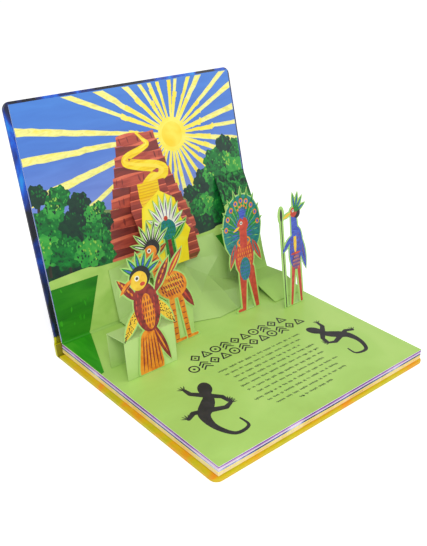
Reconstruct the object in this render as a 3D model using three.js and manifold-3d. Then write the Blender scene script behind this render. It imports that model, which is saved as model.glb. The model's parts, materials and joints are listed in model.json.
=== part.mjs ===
// A hardback pop-up book standing open at its first spread.
// Millimetres, +Z up. The origin is on the underside of the back cover, below the middle of the pages.
// Inside the book group the origin is the middle of the gutter: X runs along the spine, -Y to the fore-edge.
import * as THREE from "three";
import { mergeVertices } from "three/addons/utils/BufferGeometryUtils.js";
import Module from "manifold-3d";

// Pages, block and case
const PAGE_LENGTH = 250; // along the spine
const PAGE_WIDTH = 217; // gutter to fore-edge
const SHEET = 0.5; // pasted page or pop-up card
const BLOCK = 10; // all the leaves under the open page
const BOARD = 3;
const OVERHANG_LEFT = 5;
const OVERHANG_RIGHT = 2.5;
const OVERHANG_FORE = 2.5;
const COVER_CORNER = 7;
const BOARD_EDGE = 0.6; // softened edge of a covered board
const OPEN_ANGLE = 106; // from shut to the way it stands
const FRONT_JOINT = 8; // gutter to the front board
const BACK_JOINT = 3; // spine to the back board
const SPINE_GAP = 0.5;
const SPINE_TILT = 12;
const SPINE_LIFT = 0.5; // its foot hangs this far above the table
const JOINT_CLOTH = 0.6;
const JOINT_SAG = 1.8;
const GLUE = 0.3; // paste line between two faces in turned groups

const CASE_LEFT = -PAGE_LENGTH / 2 - OVERHANG_LEFT;
const CASE_RIGHT = PAGE_LENGTH / 2 + OVERHANG_RIGHT;

// Leaves in the block, from the bottom: each one's share of the block, and how far it lies in at
// the left end and at the fore-edge
const LEAVES = [
  [0.2, 0, 0.4],
  [0.16, 0.9, 0],
  [0.22, 0.2, 0.9],
  [0.17, 1.3, 0.5],
  [0.25, 0.4, 0.1],
];
const LEAF_GAP = 0.45;
const LEAF_SETBACK = 3; // the core lies this far inside the leaves' edges

// Pop-up
const CUTOUT_LEAN = (OPEN_ANGLE - 90) / 2; // figures bisect the lean of the upright page
const MARGIN = 1.5; // unprinted rim left round each die-cut figure
const FOOT_TAB = 5;

const book = new THREE.Group();
book.position.set(0, PAGE_WIDTH / 2, BOARD + BLOCK);
const cover = new THREE.Group();
cover.rotation.x = THREE.MathUtils.degToRad(-OPEN_ANGLE);
const object = new THREE.Group();
object.add(book);
book.add(cover);

const wasm = await Module();
wasm.setup();

const INK = {
  blue: 0x1450c8,
  olive: 0xc9c012,
  leaf: 0xe9dfe6,
  lawn: 0xaed46a,
  sky: 0x6f9bea,
  hill: 0x9cc46c,
  brick: 0xb04a34,
  sun: 0xf7dc16,
  maroon: 0x7c2a28,
  orange: 0xe27a1c,
  teal: 0x1f8a86,
  heron: 0x3f66b4,
};

function mesh(name, geometry, colour, parent) {
  const material = new THREE.MeshStandardMaterial({ color: colour, roughness: 0.55, metalness: 0 });
  const made = new THREE.Mesh(geometry, material);
  made.name = name;
  parent.add(made);
  return made;
}

// Joins and cuts

function solid(geometry) {
  const bare = geometry.clone();
  bare.deleteAttribute("normal");
  bare.deleteAttribute("uv");
  const merged = mergeVertices(bare, 1e-4);
  return new wasm.Manifold(
    new wasm.Mesh({
      numProp: 3,
      vertProperties: new Float32Array(merged.attributes.position.array),
      triVerts: new Uint32Array(merged.index.array),
    }),
  );
}

function geometryOf(body) {
  const { vertProperties, triVerts } = body.getMesh();
  const geometry = new THREE.BufferGeometry();
  geometry.setAttribute("position", new THREE.BufferAttribute(vertProperties, 3));
  geometry.setIndex(new THREE.BufferAttribute(triVerts, 1));
  return geometry;
}

function box(x0, x1, y0, y1, z0, z1) {
  const geometry = new THREE.BoxGeometry(x1 - x0, y1 - y0, z1 - z0);
  return geometry.translate((x0 + x1) / 2, (y0 + y1) / 2, (z0 + z1) / 2);
}

// Boards and pages

// A covered board lying flat: round corners at the fore-edge, sharp ones at the joint.
function boardGeometry(jointY, thickness) {
  const left = CASE_LEFT;
  const right = CASE_RIGHT;
  const fore = -PAGE_WIDTH - OVERHANG_FORE;
  const e = BOARD_EDGE;
  const r = COVER_CORNER - e;
  const outline = new THREE.Shape();
  outline.moveTo(right - e, jointY - e);
  outline.lineTo(left + e, jointY - e);
  outline.lineTo(left + e, fore + e + r);
  outline.absarc(left + e + r, fore + e + r, r, Math.PI, 1.5 * Math.PI);
  outline.lineTo(right - e - r, fore + e);
  outline.absarc(right - e - r, fore + e + r, r, 1.5 * Math.PI, 2 * Math.PI);
  outline.closePath();
  const board = new THREE.ExtrudeGeometry(outline, {
    depth: thickness - 2 * e,
    bevelEnabled: true,
    bevelSize: e,
    bevelThickness: e,
    bevelSegments: 2,
    curveSegments: 8,
  });
  return board.translate(0, 0, e);
}

function blockGeometry() {
  const bottom = -BLOCK;
  const top = -SHEET;
  const half = PAGE_LENGTH / 2;
  const inner = half - LEAF_SETBACK;
  let block = solid(box(-inner, inner, -PAGE_WIDTH + LEAF_SETBACK, 0, bottom, top));
  let z = bottom;
  for (const [share, leftIn, foreIn] of LEAVES) {
    const next = z + share * (top - bottom);
    const leafTop = top - next < LEAF_GAP ? top : next - LEAF_GAP;
    block = block.add(solid(box(-half + leftIn, half - leftIn / 2, -PAGE_WIDTH + foreIn, 0, z, leafTop)));
    z = next;
  }
  return geometryOf(block);
}

// A section drawn in the Y-Z plane, extruded along X.
function alongX(section, x0, x1) {
  const settings = { depth: x1 - x0, bevelEnabled: false, curveSegments: 6 };
  const turn = new THREE.Matrix4().makeBasis(
    new THREE.Vector3(0, 1, 0),
    new THREE.Vector3(0, 0, 1),
    new THREE.Vector3(1, 0, 0),
  );
  return new THREE.ExtrudeGeometry(section, settings).applyMatrix4(turn).translate(x0, 0, 0);
}

// Folded paper

// The outline of a sheet of even thickness that follows the points, folded at each of them.
// The points are its underside, and the thickness lies to the left of their run.
function foldedShape(points, thickness) {
  const runs = points.slice(1).map((p, i) => p.clone().sub(points[i]).normalize());
  const offset = points.map((p, i) => {
    const before = runs[Math.max(i - 1, 0)];
    const after = runs[Math.min(i, runs.length - 1)];
    const normal = new THREE.Vector2(-before.y - after.y, before.x + after.x).normalize();
    const stretch = thickness / (normal.x * -after.y + normal.y * after.x);
    return p.clone().addScaledVector(normal, stretch);
  });
  return new THREE.Shape([...points, ...offset.reverse()]);
}

// A strip folded in the Y-Z plane and as long as it is wide along X.
function stripGeometry(points, x0, x1, thickness = SHEET) {
  return alongX(foldedShape(points, thickness), x0, x1);
}

const at = (y, z) => new THREE.Vector2(y, z);

// A sheet through a grid of points, given as rows, thickened along its own normals.
function sheetGeometry(rows, thickness) {
  const high = rows.length;
  const wide = rows[0].length;
  const position = [];
  for (const row of rows) for (const p of row) position.push(p.x, p.y, p.z);
  const index = [];
  for (let r = 0; r + 1 < high; r++)
    for (let c = 0; c + 1 < wide; c++) {
      const a = r * wide + c;
      index.push(a, a + wide, a + 1, a + 1, a + wide, a + wide + 1);
    }
  const face = new THREE.BufferGeometry();
  face.setAttribute("position", new THREE.Float32BufferAttribute(position, 3));
  face.setIndex(index);
  face.computeVertexNormals();
  const normal = face.attributes.normal;
  const count = high * wide;
  for (let i = 0; i < count; i++)
    position.push(
      position[3 * i] - normal.getX(i) * thickness,
      position[3 * i + 1] - normal.getY(i) * thickness,
      position[3 * i + 2] - normal.getZ(i) * thickness,
    );
  const closed = [...index];
  for (let i = 0; i < index.length; i += 3)
    closed.push(index[i] + count, index[i + 2] + count, index[i + 1] + count);
  const rim = [];
  for (let c = 0; c < wide; c++) rim.push(c);
  for (let r = 1; r < high; r++) rim.push(r * wide + wide - 1);
  for (let c = wide - 2; c >= 0; c--) rim.push((high - 1) * wide + c);
  for (let r = high - 2; r > 0; r--) rim.push(r * wide);
  rim.forEach((a, i) => {
    const b = rim[(i + 1) % rim.length];
    closed.push(a, b, a + count, b, b + count, a + count);
  });
  const sheet = new THREE.BufferGeometry();
  sheet.setAttribute("position", new THREE.Float32BufferAttribute(position, 3));
  sheet.setIndex(closed);
  return sheet;
}

// Die-cut figures, drawn in a plane: x across from the foot's middle, y up from the foot line

function ellipse(x, y, rx, ry, turn = 0) {
  const shape = new THREE.Shape();
  shape.absellipse(x, y, rx + MARGIN, ry + MARGIN, 0, 2 * Math.PI, false, THREE.MathUtils.degToRad(turn));
  return shape;
}

// A stroke with round ends, of radius r0 at its start and r1 at its end.
function limb(x0, y0, r0, x1, y1, r1) {
  const along = Math.atan2(y1 - y0, x1 - x0);
  const spread = Math.acos((r0 - r1) / Math.hypot(x1 - x0, y1 - y0));
  const shape = new THREE.Shape();
  shape.absarc(x0, y0, r0 + MARGIN, along + spread, along + 2 * Math.PI - spread);
  shape.absarc(x1, y1, r1 + MARGIN, along - spread, along + spread);
  return shape;
}

// A pointed leaf or feather from its base to its tip.
function leaf(x0, y0, x1, y1, width) {
  const length = Math.hypot(x1 - x0, y1 - y0);
  const ux = (x1 - x0) / length;
  const uy = (y1 - y0) / length;
  const bulge = width + 2 * MARGIN;
  const place = (u, v) => new THREE.Vector2(x0 + ux * u - uy * v, y0 + uy * u + ux * v);
  const base = place(-MARGIN, 0);
  const tip = place(length + MARGIN, 0);
  const shape = new THREE.Shape();
  shape.moveTo(base.x, base.y);
  for (const side of [-1, 1]) {
    const bend = place(length * 0.45, side * bulge);
    const end = side < 0 ? tip : base;
    shape.quadraticCurveTo(bend.x, bend.y, end.x, end.y);
  }
  return shape;
}

// Leaves that spring from one point, their tips on an ellipse.
function fan(x, y, rx, ry, from, to, count, width) {
  return Array.from({ length: count }, (_, i) => {
    const a = THREE.MathUtils.degToRad(from + ((to - from) * i) / (count - 1));
    return leaf(x, y, x + rx * Math.cos(a), y + ry * Math.sin(a), width);
  });
}

// A glued foot that runs back level with the page from a cut-out that leans.
function tabGeometry(x0, x1) {
  const rise = FOOT_TAB * Math.tan(THREE.MathUtils.degToRad(CUTOUT_LEAN));
  const foot = [at(SHEET, 0), at(SHEET, SHEET), at(-FOOT_TAB, rise + SHEET), at(-FOOT_TAB, rise)];
  const tab = new THREE.ExtrudeGeometry(new THREE.Shape(foot), { depth: x1 - x0, bevelEnabled: false });
  return tab.rotateY(-Math.PI / 2).translate(x1, 0, 0);
}

function dieCut(shapes, floor, tabs = []) {
  const settings = { depth: SHEET, bevelEnabled: false, curveSegments: 7 };
  let card = null;
  for (const shape of shapes) {
    const piece = solid(new THREE.ExtrudeGeometry(shape, settings));
    card = card ? card.add(piece) : piece;
  }
  const reach = 2 * PAGE_LENGTH;
  card = card.subtract(solid(box(-reach, reach, -reach, floor, -reach, reach)));
  for (const [x0, x1] of tabs) card = card.add(solid(tabGeometry(x0, x1)));
  return geometryOf(card);
}

// A cut-out standing on the page with its foot line at (x, y), leaning back a little.
function standCutout(name, x, y, shapes, colour, tabs) {
  const card = mesh(name, dieCut(shapes, 0, tabs), colour, book);
  card.rotation.x = THREE.MathUtils.degToRad(90 - CUTOUT_LEAN);
  card.position.set(x, y, GLUE);
  return card;
}

// A little table folded from one strip: its front panel leans as the cut-outs do.
function stepGeometry({ left: x0, right: x1, foot: y, height, depth }) {
  const lean = THREE.MathUtils.degToRad(CUTOUT_LEAN);
  const topY = y + height * Math.sin(lean);
  const topZ = GLUE + height * Math.cos(lean);
  return stripGeometry(
    [at(y + depth, GLUE), at(topY + depth, topZ - STEP_DROP), at(topY, topZ), at(y, GLUE)],
    x0,
    x1,
  );
}

// Case, block and pages

mesh("front_cover", boardGeometry(-FRONT_JOINT, BOARD).translate(0, 0, SHEET + GLUE), INK.blue, cover);
const upright = box(-PAGE_LENGTH / 2, PAGE_LENGTH / 2, -PAGE_WIDTH, -SHEET - GLUE / 2, 0, SHEET);
mesh("upright_page", upright, INK.sky, cover);
mesh("back_cover", boardGeometry(-BACK_JOINT, BOARD).translate(0, 0, -BLOCK - BOARD), INK.olive, book);
mesh("page_block", blockGeometry(), INK.leaf, book);
const lower = box(-PAGE_LENGTH / 2, PAGE_LENGTH / 2, -PAGE_WIDTH, -GLUE, -SHEET, 0);
mesh("lower_page", lower, INK.lawn, book);

const SPINE_HEIGHT = BLOCK + BOARD - SHEET - GLUE - SPINE_LIFT;
const SPINE_ROUND = 2.2;

// The spine board stands behind the block, its outer foot rounded, tilted out at the top.
function spineGeometry() {
  const outline = new THREE.Shape();
  outline.moveTo(0, 0);
  outline.lineTo(BOARD - SPINE_ROUND, 0);
  outline.absarc(BOARD - SPINE_ROUND, SPINE_ROUND, SPINE_ROUND, -Math.PI / 2, 0);
  outline.lineTo(BOARD, SPINE_HEIGHT - BOARD_EDGE);
  outline.lineTo(BOARD - BOARD_EDGE, SPINE_HEIGHT);
  outline.lineTo(0, SPINE_HEIGHT);
  outline.closePath();
  return alongX(outline, CASE_LEFT, CASE_RIGHT);
}
const spine = mesh("spine", spineGeometry(), INK.olive, book);
spine.position.set(0, SPINE_GAP, -BLOCK - BOARD + SPINE_LIFT);
spine.rotation.x = THREE.MathUtils.degToRad(-SPINE_TILT);

// The cloth joint hangs from the front board's outer corner to the spine board's.
const tilt = THREE.MathUtils.degToRad(SPINE_TILT);
const open = THREE.MathUtils.degToRad(OPEN_ANGLE);
const fromCover = (h, off) =>
  at(-h * Math.cos(open) - off * Math.sin(open), h * Math.sin(open) - off * Math.cos(open));
const spineTop = at(
  SPINE_GAP + SPINE_HEIGHT * Math.sin(tilt) + BOARD * Math.cos(tilt),
  -BLOCK - BOARD + SPINE_LIFT + SPINE_HEIGHT * Math.cos(tilt) - BOARD * Math.sin(tilt),
);
const boardFoot = fromCover(FRONT_JOINT, -SHEET - GLUE - BOARD);
const jointLow = at(spineTop.x, spineTop.y + 2 * GLUE);
const jointHigh = at(boardFoot.x, boardFoot.y - GLUE);
const jointMiddle = jointLow.clone().lerp(jointHigh, 0.5).sub(at(JOINT_SAG, 0));
const jointCurve = new THREE.QuadraticBezierCurve(jointLow, jointMiddle, jointHigh);
const joint = stripGeometry(jointCurve.getPoints(6), CASE_LEFT, CASE_RIGHT, JOINT_CLOTH);
mesh("front_joint", joint, INK.olive, book);

// A point in the opening, at a radius from the gutter and a share of the way from page to page.
const inFan = (radius, share) => at(-radius * Math.cos(share * open), radius * Math.sin(share * open));
const across = (x, p) => new THREE.Vector3(x, p.x, p.y);
const LIFT = GLUE + SHEET; // the far side of a card that is glued to a page

// The raised ground is one sheet glued to both pages, its crease standing off the gutter.
// Each column is x, height on the upright page, the crease's radius and share, the foot's y,
// and how far the two panels buckle out between them.
const HILL = [
  [-62, 52, 2.6, 0.37, -38, 0, 0],
  [-40, 54, 14, 0.66, -40, 1.2, 0.8],
  [-14, 54.5, 30, 0.79, -44, -1.4, 2.5],
  [20, 55, 36, 0.83, -56, 1.6, -2],
  [45, 55, 21, 0.67, -54, -1, 2],
  [70, 55.5, 6.7, 0.6, -46, 1, 0.8],
  [84, 32, 3.1, 0.38, -24, 0, 0],
  [97, 5, 2.6, 0.37, -6, 0, 0],
];
const HILL_SLOT = [-28, -15, -24, 4, 12, 33]; // a window for the pieces that come through the sheet
const buckled = (a, b, out) => a.clone().lerp(b, 0.5).add(at(-out, out));
const hillRows = [0, 1, 2, 3, 4].map((row) =>
  HILL.map(([x, h, radius, share, footY, upper, lower]) => {
    const top = fromCover(h, LIFT);
    const crease = inFan(radius, share);
    const foot = at(footY, LIFT);
    const line = [top, buckled(top, crease, upper), crease, buckled(crease, foot, lower), foot];
    return across(x, line[row]);
  }),
);
const hill = solid(sheetGeometry(hillRows, SHEET)).subtract(solid(box(...HILL_SLOT)));
mesh("hill_sheet", geometryOf(hill), INK.hill, book);

// The flight of stairs leaves the upright page and steps forward: height, reach and half width
const STAIR_REACH = 21;
const STAIR = [
  [40, 15, 33],
  [47, STAIR_REACH, 34],
  [66, STAIR_REACH, 32],
  [73, STAIR_REACH - 1, 31],
  [81, STAIR_REACH - 4.5, 30],
  [91, 10, 28],
  [100, 3.5, 26],
  [108, LIFT, 24],
  [124, LIFT, 20],
];
const stairRows = STAIR.map(([h, reach, half]) => {
  const p = fromCover(h, reach);
  return [across(half, p), across(0, p), across(-half, p)];
});
mesh("stair_ramp", sheetGeometry(stairRows, SHEET), INK.brick, book);

// The curved sheet at the right end runs from the upright page to the lower one.
const SWEEP_LEFT = 84;
const SWEEP_HEIGHT = 112;
const SWEEP_FOOT = -68;
const SWEEP_TENT = [[16.5, 0.3], [39.5, 0.15]]; // its crease and its ridge, as radius and share
const sweepWall = new THREE.SplineCurve([
  fromCover(SWEEP_HEIGHT, LIFT),
  inFan(94, 0.968),
  inFan(72, 0.92),
  inFan(46, 0.85),
  inFan(25, 0.69),
  inFan(...SWEEP_TENT[0]),
]).getPoints(12);
const sweep = [...sweepWall, inFan(...SWEEP_TENT[1]), at(SWEEP_FOOT, LIFT)];
mesh("right_sweep", stripGeometry(sweep, SWEEP_LEFT, PAGE_LENGTH / 2), INK.hill, book);

// Two steps, and the five die-cut figures
const STEP_DROP = 3; // a step's top falls this much towards the back
const LEFT_STEP = { left: -113, right: -60, foot: -88, height: 36, depth: 26 };
const MIDDLE_STEP = { left: -50, right: -21, foot: -66, height: 46, depth: 18 };
mesh("left_step", stepGeometry(LEFT_STEP), INK.hill, book);
mesh("middle_step", stepGeometry(MIDDLE_STEP), INK.hill, book);
const middleOf = ({ left, right }) => (left + right) / 2;

const parrot = [
  limb(-1, 4, 13, -1, 32, 9),
  ellipse(0, 60, 13, 23, 8),
  ellipse(-5, 86, 10, 10),
  leaf(-12, 89, -25, 78, 5),
  ...fan(-3, 88, 22, 22, 25, 145, 6, 4),
  leaf(-8, 68, -27, 92, 8),
  leaf(9, 70, 27, 98, 8),
  leaf(8, 66, 27, 38, 9),
  leaf(-7, 64, -26, 36, 9),
  leaf(4, 44, 20, 4, 7),
];
standCutout("parrot_cutout", middleOf(LEFT_STEP), LEFT_STEP.foot - GLUE, parrot, INK.maroon);

const crane = [
  limb(-6, 0, 2.4, -9, 48, 3),
  limb(8, 0, 2.4, 1, 46, 3),
  limb(-6, 1, 2, 3, 1, 2),
  limb(8, 1, 2, 17, 1, 2),
  ellipse(-7, 58, 17, 13, -22),
  leaf(0, 58, 16, 30, 8),
  limb(-17, 66, 7, -25, 90, 5),
  ellipse(-26, 96, 9, 8),
  leaf(-32, 96, -49, 90, 4),
  ...fan(-25, 96, 22, 26, 35, 160, 7, 3),
  leaf(-12, 66, 7, 90, 6),
];
standCutout("crane_cutout", middleOf(MIDDLE_STEP), MIDDLE_STEP.foot - GLUE, crane, INK.orange);

const fanBird = [
  ellipse(-6, 86, 24, 33),
  ...fan(-6, 80, 27, 46, 15, 165, 9, 5),
  ellipse(-5, 56, 12, 19),
  limb(-5, 66, 5, -5, 88, 4),
  leaf(-16, 72, -24, 48, 6),
  leaf(6, 72, 17, 48, 6),
  limb(-9, 0, 2.6, -8, 42, 5),
  limb(9, 0, 2.6, 2, 42, 5),
  limb(-9, 1, 2, -16, 1, 2),
];
const FAN_BIRD_FOOT = { x: 56, y: -61.5, tabs: [[-8, 8]] };
standCutout("fan_bird_cutout", FAN_BIRD_FOOT.x, FAN_BIRD_FOOT.y, fanBird, INK.teal, FAN_BIRD_FOOT.tabs);

const heron = [
  limb(-15, 0, 1.3, -18, 92, 1.3),
  ellipse(-18, 97, 3, 8),
  limb(-7, 0, 1.8, -3, 42, 3),
  limb(7, 0, 1.8, 4, 42, 3),
  ellipse(1, 60, 9, 21, -6),
  leaf(-3, 74, -18, 58, 5),
  leaf(6, 74, 15, 34, 7),
  limb(0, 76, 4.5, -1, 94, 3.6),
  ellipse(0, 97, 6, 5.5),
  leaf(-4, 97, -16, 93, 3),
  ...fan(1, 96, 15, 20, 20, 100, 4, 3),
];
const HERON_FOOT = { x: 100, y: -83, tabs: [[-14, 9]] };
standCutout("heron_cutout", HERON_FOOT.x, HERON_FOOT.y, heron, INK.heron, HERON_FOOT.tabs);

// The yellow card on the stairs, and the leafy figure on it: both parallel to the upright page
const PLANT_FOOT = 46;
const SUN_CARD_RIGHT = [[18, 42], [20, 62], [26, 72], [17, 85], [13, 106]];
const SUN_CARD_LEFT = [[-4, 117], [-26, 104], [-30, 84], [-22, 66], [-14, 42]];
const sunCard = new THREE.Shape([...SUN_CARD_RIGHT, ...SUN_CARD_LEFT].map(([x, h]) => at(x, h)));
const fanPlant = [
  limb(-2, 50, 6, -2, 74, 5),
  ellipse(-2, 78, 10, 10),
  ...fan(-2, 78, 23, 34, 5, 175, 10, 4),
  leaf(2, 66, 22, 84, 5),
  leaf(-6, 66, -24, 56, 5),
];
for (const [name, geometry, colour, off] of [
  ["sun_card", new THREE.ExtrudeGeometry(sunCard, { depth: SHEET, bevelEnabled: false }), INK.sun, 0],
  ["fan_plant_cutout", dieCut(fanPlant, PLANT_FOOT), INK.teal, LIFT],
]) {
  const card = mesh(name, geometry, colour, cover);
  card.rotation.x = Math.PI;
  card.position.set(0, 0, -STAIR_REACH - SHEET - GLUE - off);
}

export default object;
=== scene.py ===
# %% [markdown]
# A pop-up book stands open at its first spread. The case, the block of leaves and the folded cards
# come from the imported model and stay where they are. This lesson adds what ink and paper add:
# printed pictures, painted boards, coloured leaf edges and card that bends as the book shuts. The
# scene is in metres, in the model's own frame. Sizes on paper are written in millimetres and turned
# into metres by MM. The few sizes that only a shader works with are in metres.

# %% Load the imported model
import json
import math
import random

import bmesh
import bpy
from mathutils import Matrix, Vector
from mathutils.geometry import tessellate_polygon
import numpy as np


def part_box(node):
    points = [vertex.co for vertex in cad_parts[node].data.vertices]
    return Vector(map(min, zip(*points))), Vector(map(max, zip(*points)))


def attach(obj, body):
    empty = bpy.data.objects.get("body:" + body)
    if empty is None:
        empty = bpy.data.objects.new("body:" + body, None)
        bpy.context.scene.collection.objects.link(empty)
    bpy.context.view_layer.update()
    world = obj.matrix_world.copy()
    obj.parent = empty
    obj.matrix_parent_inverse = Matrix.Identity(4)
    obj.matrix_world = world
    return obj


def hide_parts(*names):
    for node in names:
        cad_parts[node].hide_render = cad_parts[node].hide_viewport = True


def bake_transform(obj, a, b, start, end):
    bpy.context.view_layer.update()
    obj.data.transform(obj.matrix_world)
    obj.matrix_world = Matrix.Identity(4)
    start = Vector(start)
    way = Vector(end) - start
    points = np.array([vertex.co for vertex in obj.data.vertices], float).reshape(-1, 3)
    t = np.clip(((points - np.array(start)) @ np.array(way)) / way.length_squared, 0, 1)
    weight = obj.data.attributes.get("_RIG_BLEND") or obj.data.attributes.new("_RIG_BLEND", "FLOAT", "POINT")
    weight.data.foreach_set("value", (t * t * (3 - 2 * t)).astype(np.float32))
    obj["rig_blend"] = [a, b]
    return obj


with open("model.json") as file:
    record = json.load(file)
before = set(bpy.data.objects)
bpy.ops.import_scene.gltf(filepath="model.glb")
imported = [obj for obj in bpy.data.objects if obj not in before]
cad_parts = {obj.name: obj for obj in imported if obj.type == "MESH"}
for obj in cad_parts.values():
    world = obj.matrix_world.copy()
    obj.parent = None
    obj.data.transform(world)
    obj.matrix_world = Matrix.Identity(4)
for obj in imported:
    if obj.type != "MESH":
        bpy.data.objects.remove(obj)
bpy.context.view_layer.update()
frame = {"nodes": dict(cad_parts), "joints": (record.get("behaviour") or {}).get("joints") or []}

# %% [markdown]
# A book has one natural ruler: the gutter, the fold between the two pages. Heights on the upright
# page, depths on the lower page and the lean of the cut-outs are all measured from it, so the few
# sizes below place every print and every card.

# %% Measure the spread
MM = 0.001
hinge = next(j for j in frame["joints"] if j["name"] == "cover_hinge")
GUTTER = Vector(hinge["pos_m"])
OPENING = math.pi - math.radians(hinge["range_deg"][1])
LEAN = (OPENING - math.pi / 2) / 2
UP_PAGE = Vector((0, -math.cos(OPENING), math.sin(OPENING)))
OUT_OF_PAGE = Vector((0, -math.sin(OPENING), -math.cos(OPENING)))
UP_CARD = Vector((0, math.sin(LEAN), math.cos(LEAN)))
OUT_OF_CARD = Vector((0, -math.cos(LEAN), math.sin(LEAN)))
ALONG = Vector((1, 0, 0))
SHEET = 0.5
GLUE = 0.3
PAGE_HALF = 125
PAGE_DEPTH = 217
print("opening", round(math.degrees(OPENING), 1), "card lean", round(math.degrees(LEAN), 1))


def on_lower(x, y, off):
    return GUTTER + Vector((x, y, off)) * MM


def on_upright(x, h, off):
    return GUTTER + (ALONG * x + UP_PAGE * h + OUT_OF_PAGE * off) * MM


def on_card(foot_x, name):
    """A place on the front of a standing cut-out, from the middle of its foot line."""
    foot_y = (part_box(name)[0].y - GUTTER.y) / MM + SHEET * math.cos(LEAN)
    foot = Vector((foot_x, foot_y, GLUE))
    return lambda x, h, off: GUTTER + (foot + ALONG * x + UP_CARD * h + OUT_OF_CARD * (SHEET + off)) * MM


# %% [markdown]
# A shader is a chain of small nodes, and building one by hand takes several lines a node. The
# helpers below each make one kind of node, wired up, so that a finish reads like a recipe. Colours
# are given as they look on screen.

# %% Nodes and colours
def linear(rgb):
    """A colour as it is seen on screen, 0 to 255, as the linear values that shaders use."""
    seen = [c / 255 for c in rgb]
    return [c / 12.92 if c < 0.04045 else ((c + 0.055) / 1.055) ** 2.4 for c in seen] + [1]


def node(tree, kind, **settings):
    made = tree.nodes.new(kind)
    for key, value in settings.items():
        setattr(made, key, value)
    return made


def feed(tree, socket, value):
    """Gives a socket what it works with: another socket, by a link, or a plain number."""
    if isinstance(value, bpy.types.NodeSocket):
        tree.links.new(value, socket)
    else:
        socket.default_value = value


def fill_ramp(ramp, tones, sharp=False):
    """Spreads the tones evenly, or at their own places where a tone is (place, rgb)."""
    ramp.interpolation = "CONSTANT" if sharp else "LINEAR"
    placed = tones if len(tones[0]) == 2 else [(i / (len(tones) - 1), t) for i, t in enumerate(tones)]
    while len(ramp.elements) < len(placed):
        ramp.elements.new(1)
    for element, (place, rgb) in zip(ramp.elements, placed):
        element.position = place
        element.color = linear(rgb)


def ramped(tree, value, tones, sharp=False):
    """The colours that a value from 0 to 1 picks from a row of tones."""
    ramp = node(tree, "ShaderNodeValToRGB")
    fill_ramp(ramp.color_ramp, tones, sharp)
    tree.links.new(value, ramp.inputs["Fac"])
    return ramp.outputs["Color"]


def rescaled(tree, value, low, high):
    """A value between low and high, as one between 0 and 1."""
    scale = node(tree, "ShaderNodeMapRange")
    scale.inputs["From Min"].default_value = low
    scale.inputs["From Max"].default_value = high
    tree.links.new(value, scale.inputs["Value"])
    return scale.outputs["Result"]


def reckon(tree, operation, *values):
    """One step of arithmetic on sockets and numbers."""
    step = node(tree, "ShaderNodeMath", operation=operation)
    for socket, value in zip(step.inputs, values):
        feed(tree, socket, value)
    return step.outputs[0]


def mixed(tree, share, under, over, kind="MIX"):
    mix = node(tree, "ShaderNodeMix", data_type="RGBA", blend_type=kind)
    feed(tree, mix.inputs["Factor"], share)
    tree.links.new(under, mix.inputs["A"])
    tree.links.new(over, mix.inputs["B"])
    return mix.outputs["Result"]


def along_axis(tree, place, axis):
    parts = node(tree, "ShaderNodeSeparateXYZ")
    tree.links.new(place, parts.inputs[0])
    return parts.outputs[axis]


# %% [markdown]
# Coated book paper is smooth, a little glossy and never one flat colour: brush strokes, halftone
# and tiny fibres break it up. A picture file could carry all that, but noise needs no file and
# stays fine however near the camera comes. One helper stretches a noise into strokes, picks tones
# from it with a ramp, and presses a very fine grain into the surface.

# %% Ink and paper
INK_ROUGHNESS = 0.42
PAPER_ROUGHNESS = 0.4
COAT_ROUGHNESS = 0.25
GRAIN_SCALE = 900
GRAIN_STRENGTH = 0.06
GRAIN_HEIGHT = 0.0004
FIRST_TONE_AT = 0.32
LAST_TONE_AT = 0.68


def start_material(name, roughness, coords="UV", coat=0.0):
    """A new material, with its node tree, its shader and the place that its noises are read at."""
    material = bpy.data.materials.new(name)
    material.use_nodes = True
    tree = material.node_tree
    shader = tree.nodes["Principled BSDF"]
    shader.inputs["Roughness"].default_value = roughness
    shader.inputs["Coat Weight"].default_value = coat
    shader.inputs["Coat Roughness"].default_value = COAT_ROUGHNESS
    return material, tree, shader, node(tree, "ShaderNodeTexCoord").outputs[coords]


def ink_and_grain(tree, shader, place, colour):
    """Gives the shader its colour, and the fine fibres of paper under it."""
    fibres = node(tree, "ShaderNodeTexNoise")
    fibres.inputs["Scale"].default_value = GRAIN_SCALE
    fibres.inputs["Detail"].default_value = 3
    bump = node(tree, "ShaderNodeBump")
    bump.inputs["Strength"].default_value = GRAIN_STRENGTH
    bump.inputs["Distance"].default_value = GRAIN_HEIGHT
    tree.links.new(place, fibres.inputs["Vector"])
    tree.links.new(fibres.outputs["Fac"], bump.inputs["Height"])
    tree.links.new(bump.outputs["Normal"], shader.inputs["Normal"])
    tree.links.new(colour, shader.inputs["Base Color"])


def brush(tree, place, scale, stretch, turn=(0, 0, 0), detail=4, distortion=0.6):
    """A noise pulled out into strokes that run at an angle in the surface."""
    mapping = node(tree, "ShaderNodeMapping")
    mapping.inputs["Rotation"].default_value = turn
    mapping.inputs["Scale"].default_value = stretch
    noise = node(tree, "ShaderNodeTexNoise")
    noise.inputs["Scale"].default_value = scale
    noise.inputs["Detail"].default_value = detail
    noise.inputs["Distortion"].default_value = distortion
    tree.links.new(place, mapping.inputs["Vector"])
    tree.links.new(mapping.outputs["Vector"], noise.inputs["Vector"])
    return noise.outputs["Fac"]


def painted(name, tones, scale, stretch=(1, 1, 1), roughness=INK_ROUGHNESS, coords="UV", coat=0.0):
    material, tree, shader, place = start_material(name, roughness, coords, coat)
    step = (LAST_TONE_AT - FIRST_TONE_AT) / (len(tones) - 1)
    spread = [(FIRST_TONE_AT + step * i, tone) for i, tone in enumerate(tones)]
    ink_and_grain(tree, shader, place, ramped(tree, brush(tree, place, scale, stretch), spread))
    return material


# %% [markdown]
# The pictures use a limited set of inks, as a hand-painted print does. Each has its tones, the
# scale of its strokes, and how far they are stretched along and across the page. Mixed once and
# called by name, an ink is the same wherever it is used.

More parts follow.
